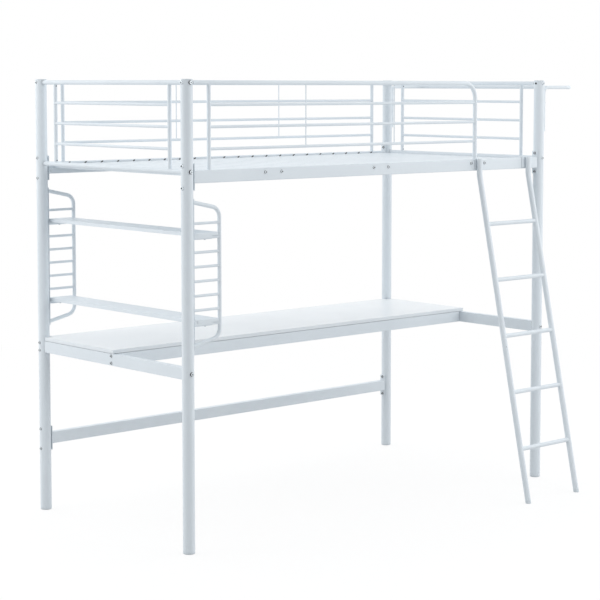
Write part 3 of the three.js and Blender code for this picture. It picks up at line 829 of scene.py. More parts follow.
@dataclass(frozen=True)
class Fastener:
    """A domed screw head with a six-sided socket, drawn from its seat outwards. The socket is painted black
    as shade, and so is the flank where asked.

    Attributes:
        name: of the head.
        radius: of the head.
        height: of the head.
        dome: height of its domed part.
        socket: radius of the socket.
        socket_depth: of the socket.
        shaded_flank_rise: how far towards its seat the head's flank is painted black as shade, as the rise of
            a face's normal where that ends.
    """

    name: str
    radius: float
    height: float
    dome: float
    socket: float
    socket_depth: float
    shaded_flank_rise: float = -1.0
    sides: ClassVar[int] = 24
    socket_sides: ClassVar[int] = 6

    def template(self, dark: Material) -> Mesh:
        """Makes the head once, to be copied to every place.

        Args:
            dark: the near-black that paints shade in its socket and on its flank.

        Returns:
            The head.
        """
        head = Shaper()
        top = max(head.rod(Vector(), Z_AXIS * self.height, self.radius, self.sides), key=height_of)
        head.round_edges(top.edges, self.dome, FOLD_STEPS)
        # the flank, below the given rise, is painted black as shade
        paint_shade(head, lambda face: face.normal.z < self.shaded_flank_rise)
        socket = Shaper()
        bottom = Z_AXIS * (self.height - self.socket_depth)
        socket.rod(bottom, Z_AXIS * self.height * CUT_REACH, self.socket, self.socket_sides)
        # the socket's faces are painted black as shade
        return carve(head, socket, dark).mesh(self.name)


@dataclass(frozen=True)
class WeldNut:
    """A round weld nut with the end of its screw inside, drawn from its seat outwards.

    Attributes:
        radius: of the nut.
        height: of the nut.
        thread: radius of its bore.
        bore: depth of the bore.
        flank: a face whose normal rises less than this belongs to the flank, which is painted black as shade.
        screw_start: where the screw's end starts, over the seat.
        screw_tip: and where it stops.
        screw_share: of the bore's radius that the screw takes.
        screw_sides: facets round the screw.
        screw_rim: rounding of its tip.
    """

    radius: float = 0.0066
    height: float = 0.0045
    thread: float = 0.0038
    bore: float = 0.003
    flank: float = 0.15
    screw_start: float = 0.001
    screw_tip: float = 0.0032
    screw_share: float = 0.72
    screw_sides: int = 16
    screw_rim: float = 0.0004

    def template(self) -> Mesh:
        """Makes the nut once, with shade painted black in its bore and round its flank, to be copied to every
        place.

        Returns:
            The nut.
        """
        nut = Shaper()
        top = max(nut.rod(Vector(), Z_AXIS * self.height, self.radius, Fastener.sides), key=height_of)
        bmesh.ops.inset_region(
            nut.bm, faces=[top], thickness=self.radius - self.thread, use_even_offset=True)
        nut.pull(top, Z_AXIS * -self.bore)
        # the bore and the flank are painted black as shade
        paint_shade(nut, self.in_painted_shade)
        nut.rod(
            Z_AXIS * self.screw_start, Z_AXIS * self.screw_tip, self.thread * self.screw_share,
            self.screw_sides, self.screw_rim)
        return nut.mesh("weld_nut")

    def in_painted_shade(self, face: Face) -> bool:
        """Whether a face lies on the flank or in the bore, where shade is painted black."""
        return face.normal.z < self.flank or face.calc_center_median().xy.length < self.thread


@dataclass(frozen=True)
class Hardware:
    """The templates of the bed's fasteners."""

    frame_screw: Mesh
    shaded_flank_screw: Mesh
    rail_screw: Mesh
    small_screw: Mesh
    nut: Mesh
    heads: ClassVar[tuple[Fastener, ...]] = (
        Fastener("frame_screw", radius=0.0084, height=0.0048, dome=0.0028, socket=0.0038, socket_depth=0.003),
        Fastener(
            "shaded_flank_screw", radius=0.0085, height=0.0064, dome=0.0032, socket=0.003, socket_depth=0.003,
            shaded_flank_rise=0.72),
        Fastener(
            "rail_screw", radius=0.0068, height=0.0036, dome=0.002, socket=0.0036, socket_depth=0.0024,
            shaded_flank_rise=0.3),
        Fastener("small_screw", radius=0.004, height=0.0022, dome=0.0014, socket=0.0014, socket_depth=0.0012),
    )

    @classmethod
    def stock(cls, dark: Material) -> "Hardware":
        """Makes the templates.

        Args:
            dark: the near-black that paints shade in the sockets and on the flanks.

        Returns:
            The hardware.
        """
        screws = {head.name: head.template(dark) for head in cls.heads}
        return cls(**screws, nut=WeldNut().template())


@dataclass
class SubAssembly:
    """What every group of pieces needs: where the bed stands, its finishes and its hardware.

    Attributes:
        layout: where the bed stands.
        finishes: the materials.
        hardware: the fasteners.
        turn_step: each screw of a row is left turned by this much more than the one before.
        saddle_reach: of a cut round a post, above and below the middle of the tube that is cut.
    """

    layout: Layout
    finishes: Finishes
    hardware: Hardware
    turn_step: ClassVar[float] = math.radians(37)
    saddle_reach: ClassVar[float] = 0.06

    def at(self, x: float, y: float, z: float) -> Vector:
        """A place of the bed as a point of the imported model's frame."""
        return self.layout.at(x, y, z)

    def dress(self, shaper: Shaper, name: str, nodes: Sequence[str] = (), body: Body = Body.FRAME,
              slot: Slot = Slot.STEEL, materials: Sequence[Material] = ()) -> None:
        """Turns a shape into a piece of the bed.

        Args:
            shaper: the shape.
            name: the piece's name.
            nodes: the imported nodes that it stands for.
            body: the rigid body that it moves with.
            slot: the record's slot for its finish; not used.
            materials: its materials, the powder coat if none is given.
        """
        piece = bpy.data.objects.new(name, shaper.mesh(name))
        bpy.context.scene.collection.objects.link(piece)
        for material in materials or (self.finishes.coat,):
            piece.data.materials.append(material)
        shading = piece.modifiers.new("even_shading", "WEIGHTED_NORMAL")
        shading.keep_sharp = True
        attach(piece, body.value)
        if nodes:
            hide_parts(*nodes)
        LOG.info("%s: %d faces", name, len(piece.data.polygons))

    def dress_with_shaded_cuts(self, shaper: Shaper, name: str, node: str, body: Body = Body.FRAME) -> None:
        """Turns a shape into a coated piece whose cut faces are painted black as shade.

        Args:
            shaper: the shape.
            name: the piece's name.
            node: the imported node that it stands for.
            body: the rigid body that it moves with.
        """
        # the second material, near-black, paints shade on the cut faces
        self.dress(shaper, name, [node], body, materials=(self.finishes.coat, self.finishes.dark))

    def screws(self, name: str, template: Mesh, places: Iterable[tuple[Vector, Vector]]) -> None:
        """Sets copies of a fastener, as one piece of the frame.

        Args:
            name: the piece's name.
            template: the fastener.
            places: for each copy, its seat and the direction out of it.
        """
        shaper = Shaper()
        for count, (seat, out) in enumerate(places):
            turn = Matrix.Rotation(self.turn_step * count, 4, "Z")
            shaper.add(template, Shaper.turned(seat, out) @ turn)
        self.dress(shaper, name, slot=Slot.PLATED, materials=(self.finishes.plated, self.finishes.dark))

    def saddle(self, tube: Shaper, posts: Iterable[tuple[float, float]], z: float, gap: float) -> Shaper:
        """Cuts the ends of a tube round the posts that it meets. The cut faces, inside the tube, are painted
        black as the shade in the gap at each post.

        Args:
            tube: the tube, drawn to the posts' middle lines.
            posts: the posts' places.
            z: height of the tube.
            gap: left between a post and the tube's end.

        Returns:
            A shaper that holds the result.
        """
        for x, y in posts:
            post = Shaper()
            reach = Z_AXIS * self.saddle_reach
            middle = self.at(x, y, z)
            post.rod(middle - reach, middle + reach, self.layout.post_radius + gap, POST_SIDES)
            # the cut end faces are painted black as shade
            tube = carve(tube, post, self.finishes.dark)
        return tube


@dataclass
class Posts(SubAssembly):
    """Four posts of round tube, each with a plastic cap and foot, and the screws through them."""

    seat_depth: float = 0.0014
    spare_hole_radius: float = 0.0048
    spare_hole_depth: float = 0.03
    cap_edge: float = 0.0028
    foot_edge: float = 0.004
    dish_margin: float = 0.006
    dish_depth: float = 0.0005
    desk_middle: float = 0.7107
    apron_bolt: float = 0.0165
    # kinds of head other than the plain one; their flanks are partly painted black as shade
    unusual: ClassVar[dict[tuple[str, Side], str]] = {
        ("front_left", Side.FRONT): "shaded_flank_screws",
        ("rear_left", Side.LEFT): "flat_screws",
    }

    def build(self) -> None:
        """Builds the posts with their caps, feet and screws."""
        for name, (x, y) in self.layout.posts().items():
            self.post(name, x, y)
            self.end_plug(f"post_cap_{name}", x, y, self.cap_edge, upward=True)
            self.end_plug(f"post_foot_{name}", x, y, self.foot_edge, upward=False)
            for kind, template in self.heads():
                places = [
                    self.seat(x, y, z, side) for side, z in self.screw_heights(name)
                    if self.unusual.get((name, side), "screws") == kind]
                if places:
                    self.screws(f"post_{kind}_{name}", template, places)

    def heads(self) -> Iterator[tuple[str, Mesh]]:
        """The kinds of screws that go through the posts.

        Returns:
            Each kind's name and its template.
        """
        yield "screws", self.hardware.frame_screw
        yield "shaded_flank_screws", self.hardware.shaded_flank_screw
        yield "flat_screws", self.hardware.rail_screw

    def post(self, name: str, x: float, y: float) -> None:
        """Builds one post. The right front one keeps an open hole where a mirrored guard would be held, its
        inside painted black as shade.

        Args:
            name: of the post.
            x: of the post.
            y: of the post.
        """
        low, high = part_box(f"post_{name}")
        shaper = Shaper()
        shaper.rod(self.at(x, y, low.z), self.at(x, y, high.z), self.layout.post_radius, POST_SIDES)
        materials = [self.finishes.coat]
        if name == "front_right":
            outer = self.at(x, y, self.layout.top_tube) + Side.LEFT.out * self.layout.post_radius
            depth = Side.LEFT.out * self.spare_hole_depth
            hole = Shaper()
            hole.rod(outer - depth, outer + depth, self.spare_hole_radius)
            # the hole's faces are painted black as shade
            shaper = carve(shaper, hole, self.finishes.dark)
            materials.append(self.finishes.dark)
        self.dress(shaper, f"post_{name}_tube", [f"post_{name}"], materials=materials)

    def end_plug(self, node: str, x: float, y: float, edge: float, upward: bool) -> None:
        """Builds a cap or a foot with a rounded rim and a shallow dish in its face.

        Args:
            node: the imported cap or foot.
            x: of the post.
            y: of the post.
            edge: rounding of its rim.
            upward: whether its face looks up.
        """
        low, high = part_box(node)
        post_low, post_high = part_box(node.replace("_cap", "").replace("_foot", ""))
        start, end = (post_high.z, high.z) if upward else (post_low.z, low.z)
        out = Z_AXIS if upward else -Z_AXIS
        shaper = Shaper()
        ends = shaper.rod(self.at(x, y, start), self.at(x, y, end), self.layout.post_radius, POST_SIDES)
        face = max(ends, key=lambda item: item.calc_center_median().dot(out))
        bmesh.ops.inset_region(shaper.bm, faces=[face], thickness=self.dish_margin, use_even_offset=True)
        rim = [item for item in shaper.bm.edges if self.on_rim(item, end, x, y)]
        shaper.pull(face, out * -self.dish_depth)
        shaper.round_edges(rim, edge, FOLD_STEPS)
        self.dress(shaper, f"{node}_moulded", [node], slot=Slot.PLASTIC, materials=(self.finishes.plastic,))

    def on_rim(self, edge: Edge, z: float, x: float, y: float) -> bool:
        """Whether an edge lies on the outer rim of a cap or foot.

        Args:
            edge: the edge.
            z: of the cap's or foot's face.
            x: of the post.
            y: of the post.

        Returns:
            Whether both ends of the edge do.
        """
        middle = self.at(x, y, z)
        reach = self.layout.post_radius - self.dish_margin / 2
        level = self.dish_depth / 2
        return all(abs(vert.co.z - z) < level and (vert.co - middle).length > reach for vert in edge.verts)

    def seat(self, x: float, y: float, z: float, side: Side) -> tuple[Vector, Vector]:
        """Where a screw head sits on a post, and the direction out of it."""
        reach = self.layout.post_radius - self.seat_depth
        return self.at(x, y, z) + side.out * reach, side.out

    def screw_heights(self, name: str) -> Iterator[tuple[Side, float]]:
        """The screws through a post.

        Args:
            name: of the post.

        Returns:
            Each screw's side and height.
        """
        end_side = Side.FRONT if name.startswith("front") else Side.REAR
        long_side = Side.LEFT if name.endswith("left") else Side.RIGHT
        layout = self.layout
        for z in (layout.top_tube, layout.low_tube, self.desk_middle):
            yield end_side, z
        if name != "front_right":
            yield long_side, layout.top_tube
        pairs = [(layout.rail_top - layout.rail_height / 2, layout.plate_bolt)]
        if name.startswith("rear"):
            pairs.append((layout.stretcher_top - layout.rail_height / 2, layout.plate_bolt))
            pairs.append((self.desk_middle, self.apron_bolt))
        for middle, offset in pairs:
            yield long_side, middle + offset
            yield long_side, middle - offset


@dataclass
class GuardWork(SubAssembly):
    """Round tubes, uprights, bars and thin spreaders, welded: what the end frames and guards share."""

    tube_radius: float = 0.0095
    tube_gap: float = 0.003
    upright_radius: float = 0.008
    bar_radius: float = 0.006
    spreader_radius: float = 0.0025
    spreader_top_bead: float = 0.0009
    spreader_bead: float = 0.0008
    inset: float = 0.108
    bar_heights: tuple[float, ...] = (1.7505, 1.665, 1.5795)
    foot: float = 1.4993
    bend: float = 0.068
    vent_radius: float = 0.0027
    vent_offset: float = 0.0155

    def bars(self, shaper: Shaper, starts: Sequence[Vector], ends: Sequence[Vector], start_radius: float,
             end_radius: float) -> None:
        """Welds bars between two uprights.

        Args:
            shaper: the frame or guard.
            starts: the bars' first ends, on the first upright's middle line.
            ends: their other ends, on the second upright's middle line.
            start_radius: of the first upright.
            end_radius: of the second upright.
        """
        for start, end in zip(starts, ends):
            along = (end - start).normalized()
            shaper.rod(start, end, self.bar_radius)
            shaper.bead(start, along, self.bar_radius, Z_AXIS, start_radius)
            shaper.bead(end, -along, self.bar_radius, Z_AXIS, end_radius)

    def spreader(self, shaper: Shaper, x: float, y: float) -> None:
        """Welds a thin spreader from the lowest bar up to the top tube.

        Args:
            shaper: the guard.
            x: of the spreader.
            y: of the guard.
        """
        radius = self.spreader_radius
        head = self.at(x, y, self.layout.top_tube)
        shaper.rod(self.at(x, y, self.bar_heights[-1]), head, radius, HOLE_SIDES)
        shaper.bead(head, -Z_AXIS, radius, X_AXIS, self.tube_radius, self.spreader_top_bead)
        for z in self.bar_heights:
            shaper.bead(self.at(x, y, z), Z_AXIS, radius, X_AXIS, self.bar_radius, self.spreader_bead)

    def upright(self, shaper: Shaper, foot: Vector, head: Vector, host: Vector) -> None:
        """Welds an upright under a top tube.

        Args:
            shaper: the frame or guard.
            foot: its lower end.
            head: its upper end, on the tube's middle line.
            host: direction of the tube.
        """
        shaper.rod(foot, head, self.upright_radius, UPRIGHT_SIDES)
        shaper.bead(head, -Z_AXIS, self.upright_radius, host, self.tube_radius)


@dataclass
class EndFrames(GuardWork):
    """The two crosswise frames at the head and the foot of the bed."""

    def build(self) -> None:
        """Builds both frames."""
        for name, x in (("left_end_frame", 0.0), ("right_end_frame", self.layout.length)):
            self.end_frame(name, x)

    def end_frame(self, name: str, x: float) -> None:
        """Builds one frame: two tubes between the posts, two uprights and three bars.

        Args:
            name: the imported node.
            x: of the frame.
        """
        near, far = self.inset, self.layout.width - self.inset
        shaper = Shaper()
        for y, towards in ((near, Side.REAR), (far, Side.FRONT)):
            shaper.take(self.vented_upright(x, y, towards))
            for z, away in ((self.layout.top_tube, -Z_AXIS), (self.layout.low_tube, Z_AXIS)):
                shaper.bead(self.at(x, y, z), away, self.upright_radius, Y_AXIS, self.tube_radius)
        for z in (self.layout.top_tube, self.layout.low_tube):
            tube = Shaper()
            start, end = self.at(x, 0.0, z), self.at(x, self.layout.width, z)
            tube.rod(start, end, self.tube_radius, TUBE_SIDES)
            shaper.take(self.saddle(tube, ((x, 0.0), (x, self.layout.width)), z, self.tube_gap))
        starts = [self.at(x, near, z) for z in self.bar_heights]
        ends = [self.at(x, far, z) for z in self.bar_heights]
        self.bars(shaper, starts, ends, self.upright_radius, self.upright_radius)
        self.dress_with_shaded_cuts(shaper, f"{name}_welded", name)

    def vented_upright(self, x: float, y: float, side: Side) -> Shaper:
        """Builds an upright with a small vent hole at each end, its inside painted black as shade.

        Args:
            x: of the upright.
            y: of the upright.
            side: the side that the holes are on.

        Returns:
            A shaper that holds the upright.
        """
        low, top = self.layout.low_tube, self.layout.top_tube
        shaper = Shaper()
        shaper.rod(self.at(x, y, low), self.at(x, y, top), self.upright_radius, UPRIGHT_SIDES)
        for z in (top - self.vent_offset, low + self.vent_offset):
            middle = self.at(x, y, z)
            outside = middle + side.out * self.upright_radius * CUT_REACH
            hole = Shaper()
            hole.rod(middle, outside, self.vent_radius, HOLE_SIDES)
            # the vent hole's faces are painted black as shade
            shaper = carve(shaper, hole, self.finishes.dark)
        return shaper


@dataclass
class Guards(GuardWork):
    """The long guards: a short one with a bent end in front, and a full one at the rear."""

    panels: int = 3
    foot_bead: float = 0.001
    foot_bead_rise: float = 0.0004

    def build(self) -> None:
        """Builds both guards."""
        self.front_guard()
        self.rear_guard()

    def infill(self, shaper: Shaper, start_x: float, end_x: float, y: float, end_radius: float) -> None:
        """Adds the bars and spreaders between two uprights of a guard.

        Args:
            shaper: the guard.
            start_x: of the first upright.
            end_x: of the second upright.
            y: of the guard.
            end_radius: of the second upright.
        """
        starts = [self.at(start_x, y, z) for z in self.bar_heights]
        ends = [self.at(end_x, y, z) for z in self.bar_heights]
        self.bars(shaper, starts, ends, self.upright_radius, end_radius)
        for panel in range(1, self.panels):
            self.spreader(shaper, start_x + (end_x - start_x) * panel / self.panels, y)

    def front_guard(self) -> None:
        """Builds the front guard, whose top tube bends down beside the ladder."""
        end_x = self.layout.length - self.layout.ladder_opening
        corners = [
            self.at(0.0, 0.0, self.layout.top_tube),
            self.at(end_x, 0.0, self.layout.top_tube),
            self.at(end_x, 0.0, self.foot),
        ]
        tube = Shaper()
        tube.tube(corners, [self.bend], self.tube_radius, TUBE_SIDES)
        shaper = self.saddle(tube, [(0.0, 0.0)], self.layout.top_tube, self.tube_gap)
        foot, head = self.at(self.inset, 0.0, self.foot), self.at(self.inset, 0.0, self.layout.top_tube)
        self.upright(shaper, foot, head, X_AXIS)
        self.infill(shaper, self.inset, end_x, 0.0, self.tube_radius)
        self.feet(shaper, ((self.inset, self.upright_radius), (end_x, self.tube_radius)), 0.0)
        self.dress_with_shaded_cuts(shaper, "front_guard_welded", "front_guard")

    def rear_guard(self) -> None:
        """Builds the rear guard."""
        y = self.layout.width
        far = self.layout.length - self.inset
        tube = Shaper()
        start = self.at(0.0, y, self.layout.top_tube)
        end = self.at(self.layout.length, y, self.layout.top_tube)
        tube.rod(start, end, self.tube_radius, TUBE_SIDES)
        shaper = self.saddle(tube, ((0.0, y), (self.layout.length, y)), self.layout.top_tube, self.tube_gap)
        for x in (self.inset, far):
            self.upright(shaper, self.at(x, y, self.foot), self.at(x, y, self.layout.top_tube), X_AXIS)
        self.infill(shaper, self.inset, far, y, self.upright_radius)
        self.feet(shaper, ((self.inset, self.upright_radius), (far, self.upright_radius)), y)
        self.dress_with_shaded_cuts(shaper, "rear_guard_welded", "rear_guard")

    def feet(self, shaper: Shaper, places: Iterable[tuple[float, float]], y: float) -> None:
        """Adds the bead where each upright stands on the side rail.

        Args:
            shaper: the guard.
            places: x and radius of each upright.
            y: of the guard.
        """
        for x, radius in places:
            foot = self.at(x, y, self.foot + self.foot_bead_rise)
            shaper.bead(foot, Z_AXIS, radius, X_AXIS, 0.0, self.foot_bead)


@dataclass
class PlatedRails(SubAssembly):
    """Rectangular tubes along the bed, with an upright plate and two weld nuts at each end.

    The weld's width is a share of the rail's, and the rounding of its edges a share of its own height.
    """

    half: float = 0.015
    corner: float = 0.0032
    plate: float = 0.003
    plate_height: float = 0.104
    plate_edge: float = 0.0007
    weld: float = 0.0022
    weld_width: float = 0.8
    weld_edge: float = 0.4

    def plated(self, shaper: Shaper, y: float, top: float) -> None:
        """Adds a tube, its end plates and the weld fillets between them.

        Args:
            shaper: the piece.
            y: middle of the tube.
            top: of the tube.
        """
        length = self.layout.length
        low = top - self.layout.rail_height
        middle = top - self.layout.rail_height / 2
        face = self.layout.post_face
        inner = face + self.plate
        shaper.box_tube(
            self.at(inner, y - self.half, low), self.at(length - inner, y + self.half, top),
            X_AXIS, self.corner)
        for outer, inner_x, side in ((face, inner, 1), (length - face, length - inner, -1)):
            x_low, x_high = sorted((outer, inner_x))
            shaper.block(
                self.at(x_low, y - self.half, middle - self.plate_height / 2),
                self.at(x_high, y + self.half, middle + self.plate_height / 2), self.plate_edge)
            weld_low, weld_high = sorted((inner_x, inner_x + self.weld * side))
            weld_half = self.half * self.weld_width
            for z in (low, top):
                shaper.block(
                    self.at(weld_low, y - weld_half, z - self.weld / 2),
                    self.at(weld_high, y + weld_half, z + self.weld / 2), self.weld * self.weld_edge)

    def nuts(self, name: str, y: float, top: float) -> None:
        """Adds the weld nuts on the inner faces of the end plates.

        Args:
            name: the piece's name.
            y: middle of the rail.
            top: of the rail.
        """
        middle = top - self.layout.rail_height / 2
        inner = self.layout.post_face + self.plate
        places = []
        for offset in (self.layout.plate_bolt, -self.layout.plate_bolt):
            places.append((self.at(inner, y, middle + offset), X_AXIS))
            places.append((self.at(self.layout.length - inner, y, middle + offset), -X_AXIS))
        self.screws(name, self.hardware.nut, places)


@dataclass
class BedFloor(PlatedRails):
    """The side rails with their ledges, the slats, the marks of painted shade between them and the cross
    supports.
    """

    ledge_width: float = 0.022
    ledge: float = 0.003
    ledge_edge: float = 0.0006
    ledge_bite: float = 0.0015
    seat: float = 1.4737
    ledge_break: float = 0.002
    slat_count: int = 23
    slat_margin: float = 0.0845
    slat_width: float = 0.066
    slat_height: float = 0.016
    slat_sheet: float = 0.0009
    slat_bend: float = 0.002
    slat_clearance: float = 0.004
    slat_sink: float = 0.009
    support_slats: tuple[int, ...] = (4, 11, 18)
    support_half: float = 0.013
    support_height: float = 0.0228
    support_margin: float = 0.01
    support_corner: float = 0.002
    bracket: float = 0.0025
    bracket_edge: float = 0.0005
    bracket_drop: float = 0.0003
    ear_width: float = 0.024
    ear_drop: float = 0.007
    lip: float = 0.003
    rail_bolt_drop: float = 0.017
    shade_mark_half: float = 0.0068
    shade_mark_width: float = 0.0055
    shade_mark_height: float = 0.0075
    shade_mark_thickness: float = 0.0035
    shade_mark_drop: float = 0.0018
    touch: float = 0.0003

    def build(self) -> None:
        """Builds the whole bed floor."""
        for name, y, inward in (("front_side_rail", 0.0, 1), ("rear_side_rail", self.layout.width, -1)):
            self.side_rail(name, y, inward)
            self.nuts(f"{name}_nuts", y, self.layout.rail_top)
            # black marks that paint the shade at the rail ends of the gaps between slats
            self.painted_shade_marks(f"{name}_clips", y, inward)
            self.rail_screws(f"{name}_screws", y, -inward)
        for index in range(self.slat_count):
            self.slat(index)
        for name, index in zip(("left", "middle", "right"), self.support_slats):
            self.cross_support(f"cross_support_{name}", self.slat_x(index))

    def slat_pitch(self) -> float:
        """From one slat's middle to the next one's."""
        return (self.layout.length - 2 * self.slat_margin) / (self.slat_count - 1)

    def slat_x(self, index: int) -> float:
        """The middle of a slat, counted from the left end."""
        return self.slat_margin + index * self.slat_pitch()

    def bracket_half(self) -> float:
        """Half the width of a cross support's bracket."""
        return self.slat_pitch() / 2 + self.support_margin

    def side_rail(self, name: str, y: float, inward: int) -> None:
        """Builds a side rail with its ledges, which are broken at the cross supports.

        Args:
            name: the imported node.
            y: middle of the rail.
            inward: the sign of y towards the middle of the bed.
        """
        shaper = Shaper()
        self.plated(shaper, y, self.layout.rail_top)
        margin = self.bracket_half() + self.ledge_break
        breaks = [self.slat_x(index) for index in self.support_slats]
        start = self.layout.post_face + self.plate
        starts = [start] + [x + margin for x in breaks]
        ends = [x - margin for x in breaks] + [self.layout.length - start]
        near = y + inward * (self.half - self.ledge_bite)
        far = y + inward * (self.half + self.ledge_width)
        for x_low, x_high in zip(starts, ends):
            shaper.block(
                self.at(x_low, min(near, far), self.seat - self.ledge),
                self.at(x_high, max(near, far), self.seat), self.ledge_edge)
        self.dress(shaper, f"{name}_welded", [name])

    def painted_shade_marks(self, name: str, y: float, inward: int) -> None:
        """Builds the dark marks of painted shade, set aslant on a rail's inner face, one between each two
        slats, where the gaps between the slats meet the rail.

        Args:
            name: the piece's name.
            y: middle of the rail.
            inward: the sign of y towards the middle of the bed.
        """
        shaper = Shaper()
        face = y + inward * (self.half + self.touch)
        high = self.layout.rail_top - self.shade_mark_drop
        low = high - self.shade_mark_height
        for index in range(self.slat_count - 1):
            x = self.slat_x(index) + self.slat_pitch() / 2
            left, right = x - self.shade_mark_half, x + self.shade_mark_half
            outline = [
                self.at(left, face, low), self.at(left + self.shade_mark_width, face, low),
                self.at(right, face, high), self.at(right - self.shade_mark_width, face, high),
            ]
            # a thin black slanted prism of painted shade
            shaper.prism(outline, Y_AXIS * inward * self.shade_mark_thickness)
        self.dress(shaper, name, slot=Slot.DARK, materials=(self.finishes.dark,))

    def rail_screws(self, name: str, y: float, outward: int) -> None:
        """Adds the screws that hold the cross supports, in pairs on the rail's outer face.

        Args:
            name: the piece's name.
            y: middle of the rail.
            outward: the sign of y away from the middle of the bed.
        """
        places = []
        for index in self.support_slats:
            for side in (-1, 1):
                x = self.slat_x(index) + side * self.slat_pitch() / 2
                seat = self.at(x, y + outward * self.half, self.layout.rail_top - self.rail_bolt_drop)
                places.append((seat, Y_AXIS * outward))
        self.screws(name, self.hardware.rail_screw, places)

    def slat(self, index: int) -> None:
        """Builds a slat: a steel channel, open below, with rounded bends.

        Args:
            index: of the slat, counted from the left end.
        """
        start = self.half + self.slat_clearance
        end = self.layout.width - start
        top = self.layout.rail_top - self.slat_sink
        half = self.slat_width / 2
        x = self.slat_x(index)
        low = self.at(x - half, start, top - self.slat_height)
        high = self.at(x + half, end, top)
        shaper = Shaper()
        faces = shaper.box(low, high)
        long_edges = {edge for face in faces for edge in face.edges if shaper.runs_along(edge, Y_AXIS)}
        bends = [edge for edge in long_edges if edge.verts[0].co.z > (low.z + high.z) / 2]
        removed = [face for face in faces if abs(face.normal.y) > PARALLEL or face.normal.z < -PARALLEL]
        bmesh.ops.delete(shaper.bm, geom=removed, context="FACES")
        shaper.round_edges(bends, self.slat_bend, FOLD_STEPS)
        shaper.folded_sheet(self.slat_sheet)
        self.dress(shaper, f"bed_slat_{index + 1:02d}_folded", [f"bed_slat_{index + 1:02d}"])

    def cross_support(self, name: str, x: float) -> None:
        """Builds a cross support: a square tube with a bracket at each end, and the nuts on its ears.

        Args:
            name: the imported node.
            x: middle of the tube.
        """
        at = self.at
        width = self.layout.width
        face = self.half + self.touch
        back = face + self.bracket
        lip_end = self.half + self.ledge_width
        half = self.bracket_half()
        tube_top = self.seat - self.lip / 2
        tube_low = tube_top - self.support_height
        plate_low = tube_low - self.bracket_drop
        ear_top = self.layout.rail_top - self.ear_drop
        ear_inner = half - self.ear_width
        shaper = Shaper()
        shaper.box_tube(
            at(x - self.support_half, face, tube_low), at(x + self.support_half, width - face, tube_top),
            Y_AXIS, self.support_corner)
        places = []
        for place, sign in ((0.0, 1), (width, -1)):
            plate_y = sorted((place + sign * face, place + sign * back))
            lip_y = sorted((place + sign * face, place + sign * lip_end))
            shaper.block(
                at(x - half, plate_y[0], plate_low), at(x + half, plate_y[1], tube_top), self.bracket_edge)
            shaper.block(
                at(x - half, lip_y[0], self.seat - self.lip), at(x + half, lip_y[1], self.seat),
                self.ledge_edge)
            for side in (-1, 1):
                x_low, x_high = sorted((x + side * ear_inner, x + side * half))
                shaper.block(
                    at(x_low, plate_y[0], plate_low), at(x_high, plate_y[1], ear_top), self.bracket_edge)
                bolt_x = x + side * self.slat_pitch() / 2
                bolt = at(bolt_x, place + sign * back, self.layout.rail_top - self.rail_bolt_drop)
                places.append((bolt, Y_AXIS * sign))
        self.dress(shaper, f"{name}_welded", [name])
        self.screws(f"{name}_nuts", self.hardware.nut, places)


@dataclass
class Stretcher(PlatedRails):
    """The low rail between the rear posts."""

    def build(self) -> None:
        """Builds the stretcher and its nuts."""
        shaper = Shaper()
        self.plated(shaper, self.layout.width, self.layout.stretcher_top)
        self.dress(shaper, "rear_stretcher_welded", ["rear_stretcher"])
        self.nuts("rear_stretcher_nuts", self.layout.width, self.layout.stretcher_top)


